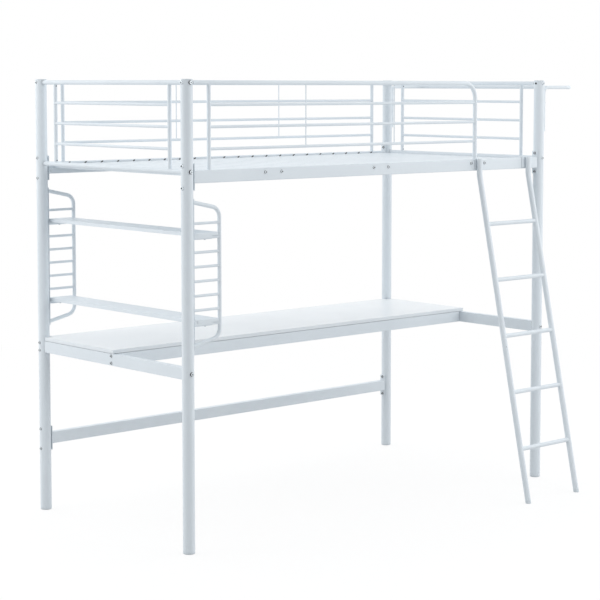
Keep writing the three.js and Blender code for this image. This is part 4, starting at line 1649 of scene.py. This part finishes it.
@dataclass
class Desk(SubAssembly):
    """The desk board on its four rectangular tubes."""

    half: float = 0.0125
    corner: float = 0.0018
    rear_end: float = 0.0205
    rail_gap: float = 0.001
    seam: float = 0.0012
    end_play: float = 0.0012
    edge: float = 0.0008
    notch: float = 0.026
    film_slope: float = 0.9
    bolt_offset: float = 0.0145

    def build(self) -> None:
        """Builds the board, its tubes and the screws at the front corners."""
        self.end_rail("desk_left_rail", 0.0)
        self.end_rail("desk_right_rail", self.layout.length)
        for node, axis_end in (("desk_front_apron", 0.0), ("desk_rear_apron", self.rear_end)):
            self.apron(node, axis_end)
        self.board()
        self.corner_screws()

    def end_rail(self, node: str, x: float) -> None:
        """Builds a tube from a front post to a rear post.

        Args:
            node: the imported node.
            x: of the posts.
        """
        low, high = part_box(node)
        width = self.layout.width
        shaper = Shaper()
        shaper.box_tube(
            self.at(x - self.half, 0.0, low.z),
            self.at(x + self.half, width, high.z - self.seam), Y_AXIS, self.corner)
        shaper = self.saddle(shaper, ((x, 0.0), (x, width)), high.z, self.rail_gap)
        self.dress_with_shaded_cuts(shaper, f"{node}_tube", node)

    def apron(self, node: str, end: float) -> None:
        """Builds a tube along the bed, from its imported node's box.

        Args:
            node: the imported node.
            end: from a post's middle line to the tube's end, or zero for the node's own end.
        """
        low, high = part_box(node)
        if end:
            low.x = self.layout.origin.x + end
            high.x = self.layout.origin.x + self.layout.length - end
        play = Vector((self.end_play, 0.0, 0.0))
        shaper = Shaper()
        shaper.box_tube(low + play, high - play - Z_AXIS * self.seam, X_AXIS, self.corner)
        self.dress(shaper, f"{node}_tube", [node])

    def board(self) -> None:
        """Builds the board, with a notch for each rear post and banded edges."""
        low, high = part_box("desk_board")
        left = self.layout.origin.x + self.notch
        right = self.layout.origin.x + self.layout.length - self.notch
        back = self.layout.origin.y + self.layout.width - self.notch
        outline = [
            Vector((low.x, low.y, low.z)),
            Vector((high.x, low.y, low.z)),
            Vector((high.x, back, low.z)),
            Vector((right, back, low.z)),
            Vector((right, high.y, low.z)),
            Vector((left, high.y, low.z)),
            Vector((left, back, low.z)),
            Vector((low.x, back, low.z)),
        ]
        shaper = Shaper()
        shaper.prism(outline, Z_AXIS * (high.z - low.z))
        shaper.round_edges(shaper.bm.edges[:], self.edge, EDGE_STEPS)
        shaper.bm.normal_update()
        for face in shaper.bm.faces:
            face.material_index = 0 if abs(face.normal.z) > self.film_slope else 1
        self.dress(
            shaper, "desk_board_laminated", ["desk_board"], slot=Slot.BOARD,
            materials=(self.finishes.film, self.finishes.banding))

    def corner_screws(self) -> None:
        """Adds the two screws through each end rail into the front apron."""
        low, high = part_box("desk_front_apron")
        y = (low.y + high.y) / 2 - self.layout.origin.y
        middle = (low.z + high.z) / 2
        places = []
        for x, side in ((-self.half, Side.LEFT), (self.layout.length + self.half, Side.RIGHT)):
            for offset in (self.bolt_offset, -self.bolt_offset):
                places.append((self.at(x, y, middle + offset), side.out))
        self.screws("desk_corner_screws", self.hardware.rail_screw, places)


@dataclass
class ShelfEnd(SubAssembly):
    """The two racks on the left posts and the two shelves that lie on their rungs."""

    strip: float = 0.003
    strip_edge: float = 0.0008
    strip_half: float = 0.01
    strip_low: float = 0.8
    strip_high: float = 1.39
    overhang: float = 0.014
    reach: float = 0.158
    drop: float = 0.029
    bend: float = 0.042
    radius: float = 0.008
    rung_radius: float = 0.0055
    rung_count: int = 8
    rung_margin: float = 0.08325
    rung_bead: float = 0.0011
    shelf_rungs: ClassVar[dict[str, int]] = {"upper_shelf": 1, "lower_shelf": 7}
    screw_heights: tuple[float, ...] = (0.829, 1.095, 1.361)
    shelf_sheet: float = 0.0012
    shelf_bend: float = 0.0026
    shelf_notch_x: float = 0.012
    shelf_notch_y: float = 0.02
    strap_reach: tuple[float, float] = (0.03, 0.118)
    strap_screw: float = 0.085
    strap_sheet: float = 0.0014
    strap_play: float = 0.0003
    strap_leg: float = 0.017
    strap_steps: int = 10

    def build(self) -> None:
        """Builds the racks, the shelves and their straps."""
        for node, y in (("front_shelf_rack", 0.0), ("rear_shelf_rack", self.layout.width)):
            self.rack(node, y)
            places = [(self.at(self.layout.post_face + self.strip, y, z), X_AXIS) for z in self.screw_heights]
            self.screws(f"{node}_screws", self.hardware.small_screw, places)
        for node, rung in self.shelf_rungs.items():
            self.shelf(node)
            self.straps(node, self.rung_height(rung))

    def rung_height(self, index: int) -> float:
        """Where a rung is.

        Args:
            index: of the rung, counted from the top one, which is 0.

        Returns:
            Its height.
        """
        high = self.strip_high - self.overhang - self.rung_margin
        low = self.strip_low + self.overhang + self.rung_margin
        return high - (high - low) * index / (self.rung_count - 1)

    def rack(self, node: str, y: float) -> None:
        """Builds a rack: a strip, a bent tube and its rungs, with a bead at each weld.

        Args:
            node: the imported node.
            y: of the rack.
        """
        at = self.at
        weld_x = self.layout.post_face + self.strip / 2
        face_x = self.layout.post_face + self.strip
        high = self.strip_high - self.overhang
        low = self.strip_low + self.overhang
        corners = [
            at(weld_x, y, high),
            at(self.reach, y, high - self.drop),
            at(self.reach, y, low + self.drop),
            at(weld_x, y, low),
        ]
        shaper = Shaper()
        shaper.tube(corners, [self.bend, self.bend], self.radius, UPRIGHT_SIDES)
        shaper.block(
            at(self.layout.post_face, y - self.strip_half, self.strip_low),
            at(face_x, y + self.strip_half, self.strip_high), self.strip_edge)
        for end, corner in ((corners[0], corners[1]), (corners[-1], corners[-2])):
            along = (corner - end).normalized()
            foot = end + along * ((self.strip / 2) / along.x)
            shaper.bead(foot, along, self.radius, Y_AXIS, 0.0)
        for index in range(self.rung_count):
            z = self.rung_height(index)
            start, end = at(weld_x, y, z), at(self.reach, y, z)
            shaper.rod(start, end, self.rung_radius)
            shaper.bead(at(face_x, y, z), X_AXIS, self.rung_radius, Y_AXIS, 0.0, self.rung_bead)
            shaper.bead(end, -X_AXIS, self.rung_radius, Z_AXIS, self.radius, self.rung_bead)
        self.dress(shaper, f"{node}_welded", [node])

    def shelf(self, node: str) -> None:
        """Builds a shelf: a folded tray, open below, with its skirt cut back beside the posts.

        Args:
            node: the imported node.
        """
        low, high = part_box(node)
        shaper = Shaper()
        faces = shaper.box(low, high)
        bottom = [face for face in faces if face.normal.z < -PARALLEL]
        bmesh.ops.delete(shaper.bm, geom=bottom, context="FACES")
        middle = (low.z + high.z) / 2
        folds = [edge for edge in shaper.bm.edges if any(vert.co.z > middle for vert in edge.verts)]
        shaper.round_edges(folds, self.shelf_bend, FOLD_STEPS)
        shaper.folded_sheet(self.shelf_sheet)
        below = low.z - self.shelf_notch_x
        above = high.z - self.shelf_bend - self.shelf_sheet
        for edge_y, inner_y in ((low.y, low.y + self.shelf_notch_y), (high.y, high.y - self.shelf_notch_y)):
            outer_y = 2 * edge_y - inner_y
            tool = Shaper()
            tool.box(
                Vector((low.x - self.shelf_notch_x, min(inner_y, outer_y), below)),
                Vector((low.x + self.shelf_notch_x, max(inner_y, outer_y), above)))
            shaper = carve(shaper, tool)
            self.notch_walls(shaper, low, high, edge_y, inner_y)
        self.dress(shaper, f"{node}_folded", [node])

    def notch_walls(self, shaper: Shaper, low: Vector, high: Vector, edge_y: float, inner_y: float) -> None:
        """Closes the two sides of a shelf's notch with the folded sheet.

        Args:
            shaper: the shelf.
            low: lowest corner of the shelf.
            high: its highest corner.
            edge_y: of the shelf's end.
            inner_y: of the notch's end.
        """
        corner = low.x + self.shelf_notch_x
        behind = inner_y + math.copysign(self.shelf_sheet, inner_y - edge_y)
        under = high.z - self.shelf_sheet / 2
        for start, end, near, far in (
            (low.x + self.shelf_bend, corner, inner_y, behind),
            (corner, corner + self.shelf_sheet, edge_y, behind),
        ):
            shaper.box(Vector((start, min(near, far), low.z)), Vector((end, max(near, far), under)))

    def straps(self, node: str, z: float) -> None:
        """Builds the strap round the rung under each end of a shelf, and its screw.

        Args:
            node: the shelf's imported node.
            z: height of the rung.
        """
        shaper = Shaper()
        places = []
        inner = self.rung_radius + self.strap_play
        outer = inner + self.strap_sheet
        x_low, x_high = self.strap_reach
        at = self.at
        for y in (0.0, self.layout.width):
            outline = [
                at(x_low, y - outer, z), at(x_low, y - inner, z),
                at(x_high, y - inner, z), at(x_high, y - outer, z),
            ]
            first = shaper.bm.faces.new([shaper.bm.verts.new(corner) for corner in outline])
            spun = bmesh.ops.spin(
                shaper.bm, geom=[first], cent=at(0.0, y, z), axis=X_AXIS, angle=math.pi,
                steps=self.strap_steps, use_merge=False, use_duplicate=False)
            last = of_kind(spun["geom_last"], Face)[0]
            for face in (first, last):
                shaper.pull(face, Z_AXIS * self.strap_leg)
            places.append((at(self.strap_screw, y, z - outer), -Z_AXIS))
        self.dress(shaper, f"{node}_straps")
        self.screws(f"{node}_strap_screws", self.hardware.small_screw, places)


@dataclass
class ClothesLoop(SubAssembly):
    """The bent tube for clothes on the right end, with its screws."""

    radius: float = 0.008
    wall: float = 0.0012
    reach: float = 0.24
    drop: float = 0.032
    leg: float = 0.202
    leg_bend: float = 0.024
    corner: float = 0.04
    bore: float = 0.02
    screw_sink: float = 0.0004
    screw_drops: tuple[float, ...] = (0.07, 0.18)

    def build(self) -> None:
        """Builds the loop and its screws."""
        at = self.at
        length, width = self.layout.length, self.layout.width
        leg_x = length + self.layout.post_face + self.radius
        height = self.layout.height - self.drop
        corners = [
            at(leg_x, 0.0, height - self.leg),
            at(leg_x, 0.0, height),
            at(length + self.reach, 0.0, height),
            at(length + self.reach, width, height),
            at(leg_x, width, height),
            at(leg_x, width, height - self.leg),
        ]
        shaper = Shaper()
        bends = [self.leg_bend, self.corner, self.corner, self.leg_bend]
        shaper.tube(corners, bends, self.radius, UPRIGHT_SIDES, self.wall, self.bore)
        self.dress(shaper, "clothes_loop_bent", ["clothes_loop"])
        seat_x = leg_x + self.radius - self.screw_sink
        places = [
            (at(seat_x, y, height - drop), X_AXIS) for y in (0.0, width) for drop in self.screw_drops]
        self.screws("clothes_loop_screws", self.hardware.small_screw, places)


@dataclass
class Ladder(SubAssembly):
    """The ladder that hooks over the front side rail, on its own body."""

    radius: float = 0.0125
    wall: float = 0.0015
    bore: float = 0.03
    rung_radius: float = 0.0095
    rung_sides: int = 28
    width: float = 0.326
    knee: float = 1.43
    lean: float = 0.3075
    top_rise: float = 0.003
    bend: float = 0.09
    first_rung: float = 0.233
    rung_pitch: float = 0.245
    rung_count: int = 5
    foot: float = 0.012
    stile_y: float = -0.0311
    hook_near: float = 0.0153
    hook_far: float = 0.0183
    hook_outer: float = 0.018
    hook_inner: float = 0.028
    hook_tongue: float = 0.0115
    hook_front: float = 0.046
    hook_rear: float = 0.023
    hook_rise: float = 0.0003
    hook_bend: float = 0.0024
    hook_edge: float = 0.0007
    drained_rung: int = 2
    drain_drop: float = 0.045
    drain_radius: float = 0.0016
    drain_start: float = 0.6
    drain_way: Triple = (-0.35, -1.0, 0.0)
    weld: float = 0.0014
    weld_sides: int = 10
    weld_rim: float = 0.0007
    weld_offset: float = 0.0038
    weld_rise: float = 0.0004
    weld_low: float = 0.004
    weld_high: float = 0.006
    sole_edge: float = 0.0012
    touch: float = 0.0003
    same_place: float = 1e-5

    def build(self) -> None:
        """Builds the ladder's frame, hooks and feet."""
        left = self.layout.length - self.layout.ladder_opening
        right = left + self.width
        shaper = Shaper()
        for x in (left, right):
            shaper.take(self.stile(x, drained=x == left))
        lean = self.on_lean(0.0, 1.0) - self.on_lean(0.0, 0.0)
        lean.normalize()
        for index in range(self.rung_count):
            z = self.first_rung + index * self.rung_pitch
            start, end = self.on_lean(left, z), self.on_lean(right, z)
            shaper.rod(start, end, self.rung_radius, self.rung_sides)
            shaper.bead(start, X_AXIS, self.rung_radius, lean, self.radius)
            shaper.bead(end, -X_AXIS, self.rung_radius, lean, self.radius)
        self.dress_with_shaded_cuts(shaper, "ladder_frame_welded", "ladder_frame", Body.LADDER)
        for name, x, inward in (("left", left, 1), ("right", right, -1)):
            self.hook(f"ladder_{name}_hook", x, inward)
            self.foot_plug(f"ladder_{name}_foot", x, lean)

    def on_lean(self, x: float, z: float) -> Vector:
        """The point at a height on the leaning part of a stile's middle line."""
        return self.at(x, self.stile_y - self.lean * (1.0 - z / self.knee), z)

    def stile(self, x: float, drained: bool) -> Shaper:
        """Builds a stile with an open top.

        Args:
            x: of the stile.
            drained: whether it has a small drain hole, painted black inside as shade.

        Returns:
            A shaper that holds the stile.
        """
        lean = (self.on_lean(x, self.knee) - self.on_lean(x, 0.0)).normalized()
        corners = [
            self.at(x, self.stile_y, self.layout.rail_top + self.top_rise),
            self.on_lean(x, self.knee),
            self.on_lean(x, 0.0) + lean * self.foot,
        ]
        shaper = Shaper()
        shaper.tube(corners, [self.bend], self.radius, TUBE_SIDES, self.wall, self.bore)
        if drained:
            rung = self.first_rung + self.drained_rung * self.rung_pitch
            middle = self.on_lean(x, rung - self.drain_drop)
            out = Vector(self.drain_way).normalized()
            inside = middle + out * self.radius * self.drain_start
            outside = middle + out * self.radius * CUT_REACH
            hole = Shaper()
            hole.rod(inside, outside, self.drain_radius, HOLE_SIDES)
            # the drain hole's faces are painted black as shade
            shaper = carve(shaper, hole, self.finishes.dark)
        return shaper

    def hook(self, node: str, x: float, inward: int) -> None:
        """Builds a hook: a plate behind the stile and a narrower tongue over the rail and down behind it.

        Args:
            node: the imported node.
            x: of the stile.
            inward: the sign of x towards the other stile.
        """
        at = self.at
        under = self.layout.rail_top + self.hook_rise
        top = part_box(node)[1].z
        plate_x = sorted((x - inward * self.hook_outer, x + inward * self.hook_inner))
        tongue_x = sorted((x + inward * self.hook_tongue, x + inward * self.hook_inner))
        shaper = Shaper()
        shaper.block(
            at(plate_x[0], -self.hook_far, self.layout.rail_top - self.hook_front),
            at(plate_x[1], -self.hook_near, top), self.hook_edge)
        start = -self.hook_far + self.hook_bend
        low = self.layout.rail_top - self.hook_rear
        outline = [
            at(tongue_x[0], start, under), at(tongue_x[0], self.hook_near, under),
            at(tongue_x[0], self.hook_near, low), at(tongue_x[0], self.hook_far, low),
            at(tongue_x[0], self.hook_far, top), at(tongue_x[0], start, top),
        ]
        faces = shaper.prism(outline, X_AXIS * (tongue_x[1] - tongue_x[0]))
        edges = {edge for face in faces for edge in face.edges if shaper.runs_along(edge, X_AXIS)}
        corner = [edge for edge in edges if self.at_corner(edge, at(0.0, self.hook_far, top))]
        shaper.round_edges(corner, self.hook_bend, FOLD_STEPS)
        y = -self.hook_far - self.weld_rise
        for side in (-1, 1):
            weld_x = x + side * self.weld_offset
            foot = at(weld_x, y, self.layout.rail_top - self.hook_front + self.weld_low)
            head = at(weld_x, y, self.layout.rail_top - self.weld_high)
            shaper.rod(foot, head, self.weld, self.weld_sides, self.weld_rim)
        self.dress(shaper, f"{node}_folded", [node], Body.LADDER)

    def at_corner(self, edge: Edge, corner: Vector) -> bool:
        """Whether an edge lies at the y and z of a corner."""
        return all((vert.co - corner).yz.length < self.same_place for vert in edge.verts)

    def foot_plug(self, node: str, x: float, lean: Vector) -> None:
        """Builds a foot plug along the stile, cut level with the floor.

        Args:
            node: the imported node.
            x: of the stile.
            lean: direction of the stile, upwards.
        """
        foot = self.on_lean(x, 0.0)
        shaper = Shaper()
        shaper.rod(
            foot - lean * self.radius, foot + lean * (self.foot - self.touch), self.radius, TUBE_SIDES)
        geometry = shaper.bm.verts[:] + shaper.bm.edges[:] + shaper.bm.faces[:]
        cut = bmesh.ops.bisect_plane(
            shaper.bm, geom=geometry, plane_co=self.at(x, 0.0, 0.0), plane_no=Z_AXIS, clear_inner=True)
        rim = of_kind(cut["geom_cut"], Edge)
        sole = bmesh.ops.edgeloop_fill(shaper.bm, edges=rim)["faces"]
        shaper.round_edges([edge for face in sole for edge in face.edges], self.sole_edge)
        self.dress(shaper, f"{node}_moulded", [node], Body.LADDER, Slot.PLASTIC, (self.finishes.plastic,))


@dataclass(frozen=True)
class Lamp:
    """A square soft lamp that looks at the middle of the bed.

    Attributes:
        name: of the lamp.
        azimuth: where it stands round the bed, in degrees from x.
        power: in watts.
        size: length of its sides.
        distance: from the middle of the bed.
        height: of its middle.
    """

    name: str
    azimuth: float
    power: float
    size: float = 2.0
    distance: float = 4.5
    height: float = 2.4

    def place(self, target: Vector) -> None:
        """Sets the lamp up.

        Args:
            target: what it looks at.
        """
        data = bpy.data.lights.new(self.name, "AREA")
        data.shape = "SQUARE"
        data.size = self.size
        data.energy = self.power
        angle = math.radians(self.azimuth)
        place = Vector((math.cos(angle) * self.distance, math.sin(angle) * self.distance, self.height))
        lamp = bpy.data.objects.new(self.name, data)
        lamp.location = place
        lamp.rotation_mode = "QUATERNION"
        lamp.rotation_quaternion = (place - target).to_track_quat("Z", "Y")
        lamp.visible_camera = False
        bpy.context.scene.collection.objects.link(lamp)


@dataclass
class Studio:
    """A pale floor, four soft lamps beside the bed, a brighter world behind it, and the photograph's camera.

    Attributes:
        layout: where the bed stands.
        camera_place: of the camera.
        camera_turn: of the camera, in radians.
        lens: of the camera, in millimetres.
        sensor: width of its sensor, in millimetres.
        shift: of its picture.
        floor_size: length of the floor's sides.
        floor_tones: of the paper on the floor, as it lights the bed and as it is seen.
        fade: the distances from the middle between which the seen floor turns to plain white.
        white_shares: of plain white in the seen floor, near and far.
        world_strengths: of the world's light, in front and behind.
        world_rear: the direction behind the bed, as the photograph's camera looks.
        world_tint: colour of the world's light.
        white: the plain white of the seen world.
    """

    layout: Layout
    camera_place: Triple = (-5.35078, -5.75069, 1.82986)
    camera_turn: Triple = (1.4836467, -0.0018478, -0.7469984)
    lens: float = 106.866
    sensor: float = 36.0
    shift: Span = (-0.0667, -0.1)
    floor_size: float = 60.0
    floor_tones: Span = (0.6, 0.95)
    fade: Span = (2.0, 5.0)
    white_shares: Span = (0.86, 1.0)
    world_strengths: Span = (0.44, 1.54)
    world_rear: Triple = (0.68, 0.73, 0.0)
    world_tint: Triple = (0.965, 0.985, 1.0)
    white: Triple = (1.0, 1.0, 1.0)
    lamps: ClassVar[tuple[Lamp, ...]] = (
        Lamp("left_rear_lamp", azimuth=120.0, power=17.0),
        Lamp("left_front_lamp", azimuth=160.0, power=37.0),
        Lamp("right_front_lamp", azimuth=290.0, power=34.0),
        Lamp("right_rear_lamp", azimuth=330.0, power=22.5),
    )

    def build(self) -> None:
        """Builds the floor, the world, the lamps and the camera."""
        self.floor()
        self.world()
        for lamp in self.lamps:
            lamp.place(Z_AXIS * self.layout.height / 2)
        self.camera()

    def floor(self) -> None:
        """Builds the floor."""
        bm = bmesh.new()
        bmesh.ops.create_grid(bm, x_segments=1, y_segments=1, size=self.floor_size / 2)
        mesh = bpy.data.meshes.new("studio_floor")
        bm.to_mesh(mesh)
        bm.free()
        mesh.materials.append(self.paper())
        floor = bpy.data.objects.new("studio_floor", mesh)
        bpy.context.scene.collection.objects.link(floor)

    def paper(self) -> Material:
        """Draws the floor's paper, which looks white but keeps the bed's shadow, and is plain white far away.

        Returns:
            The material.
        """
        material = bpy.data.materials.new("studio_paper")
        material.use_nodes = True
        sketch = NodeSketch(material.node_tree)
        sketch.tree.nodes.clear()
        seen = sketch.seen_directly()
        matt = sketch.add("ShaderNodeBsdfDiffuse")
        sketch.link(sketch.mapped(seen, (0.0, 1.0), self.floor_tones), matt.inputs["Color"])
        away = sketch.add("ShaderNodeVectorMath", operation="LENGTH")
        sketch.link(sketch.add("ShaderNodeTexCoord").outputs["Object"], away.inputs[0])
        fade = sketch.mapped(away.outputs["Value"], self.fade, self.white_shares)
        glow = sketch.add("ShaderNodeEmission").outputs["Emission"]
        mixed = sketch.blend(sketch.combined("MULTIPLY", seen, fade), matt.outputs["BSDF"], glow)
        sketch.link(mixed, sketch.add("ShaderNodeOutputMaterial").inputs["Surface"])
        return material

    def world(self) -> None:
        """Lights the world, less from the front than from behind the bed, and shows it white."""
        world = bpy.data.worlds.new("studio_world")
        bpy.context.scene.world = world
        world.use_nodes = True
        sketch = NodeSketch(world.node_tree)
        sketch.tree.nodes.clear()
        facing = sketch.add("ShaderNodeVectorMath", operation="DOT_PRODUCT")
        facing.inputs[1].default_value = self.world_rear
        sketch.link(sketch.add("ShaderNodeTexCoord").outputs["Generated"], facing.inputs[0])
        light, white = (sketch.add("ShaderNodeBackground") for _ in range(2))
        light.inputs["Color"].default_value = (*self.world_tint, 1.0)
        white.inputs["Color"].default_value = (*self.white, 1.0)
        level = sketch.mapped(facing.outputs["Value"], (-1.0, 1.0), self.world_strengths)
        sketch.link(level, light.inputs["Strength"])
        mixed = sketch.blend(sketch.seen_directly(), light.outputs["Background"], white.outputs["Background"])
        sketch.link(mixed, sketch.add("ShaderNodeOutputWorld").inputs["Surface"])

    def camera(self) -> None:
        """Sets the camera."""
        data = bpy.data.cameras.new("studio_camera")
        data.lens = self.lens
        data.sensor_width = self.sensor
        data.shift_x, data.shift_y = self.shift
        camera = bpy.data.objects.new("studio_camera", data)
        camera.location = self.camera_place
        camera.rotation_euler = self.camera_turn
        bpy.context.scene.collection.objects.link(camera)
        bpy.context.scene.camera = camera


def main() -> None:
    """Builds the whole scene in order."""
    logging.basicConfig(level=logging.INFO, format="%(message)s")
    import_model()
    bpy.context.scene.view_settings.view_transform = "Standard"
    layout = Layout.read()
    finishes = Finishes.mix()
    hardware = Hardware.stock(finishes.dark)
    Studio(layout).build()
    for kind in (Posts, EndFrames, Guards, BedFloor, Stretcher, Desk, ShelfEnd, ClothesLoop, Ladder):
        LOG.info("building %s", kind.__name__)
        kind(layout, finishes, hardware).build()


if __name__ == "__main__":
    main()
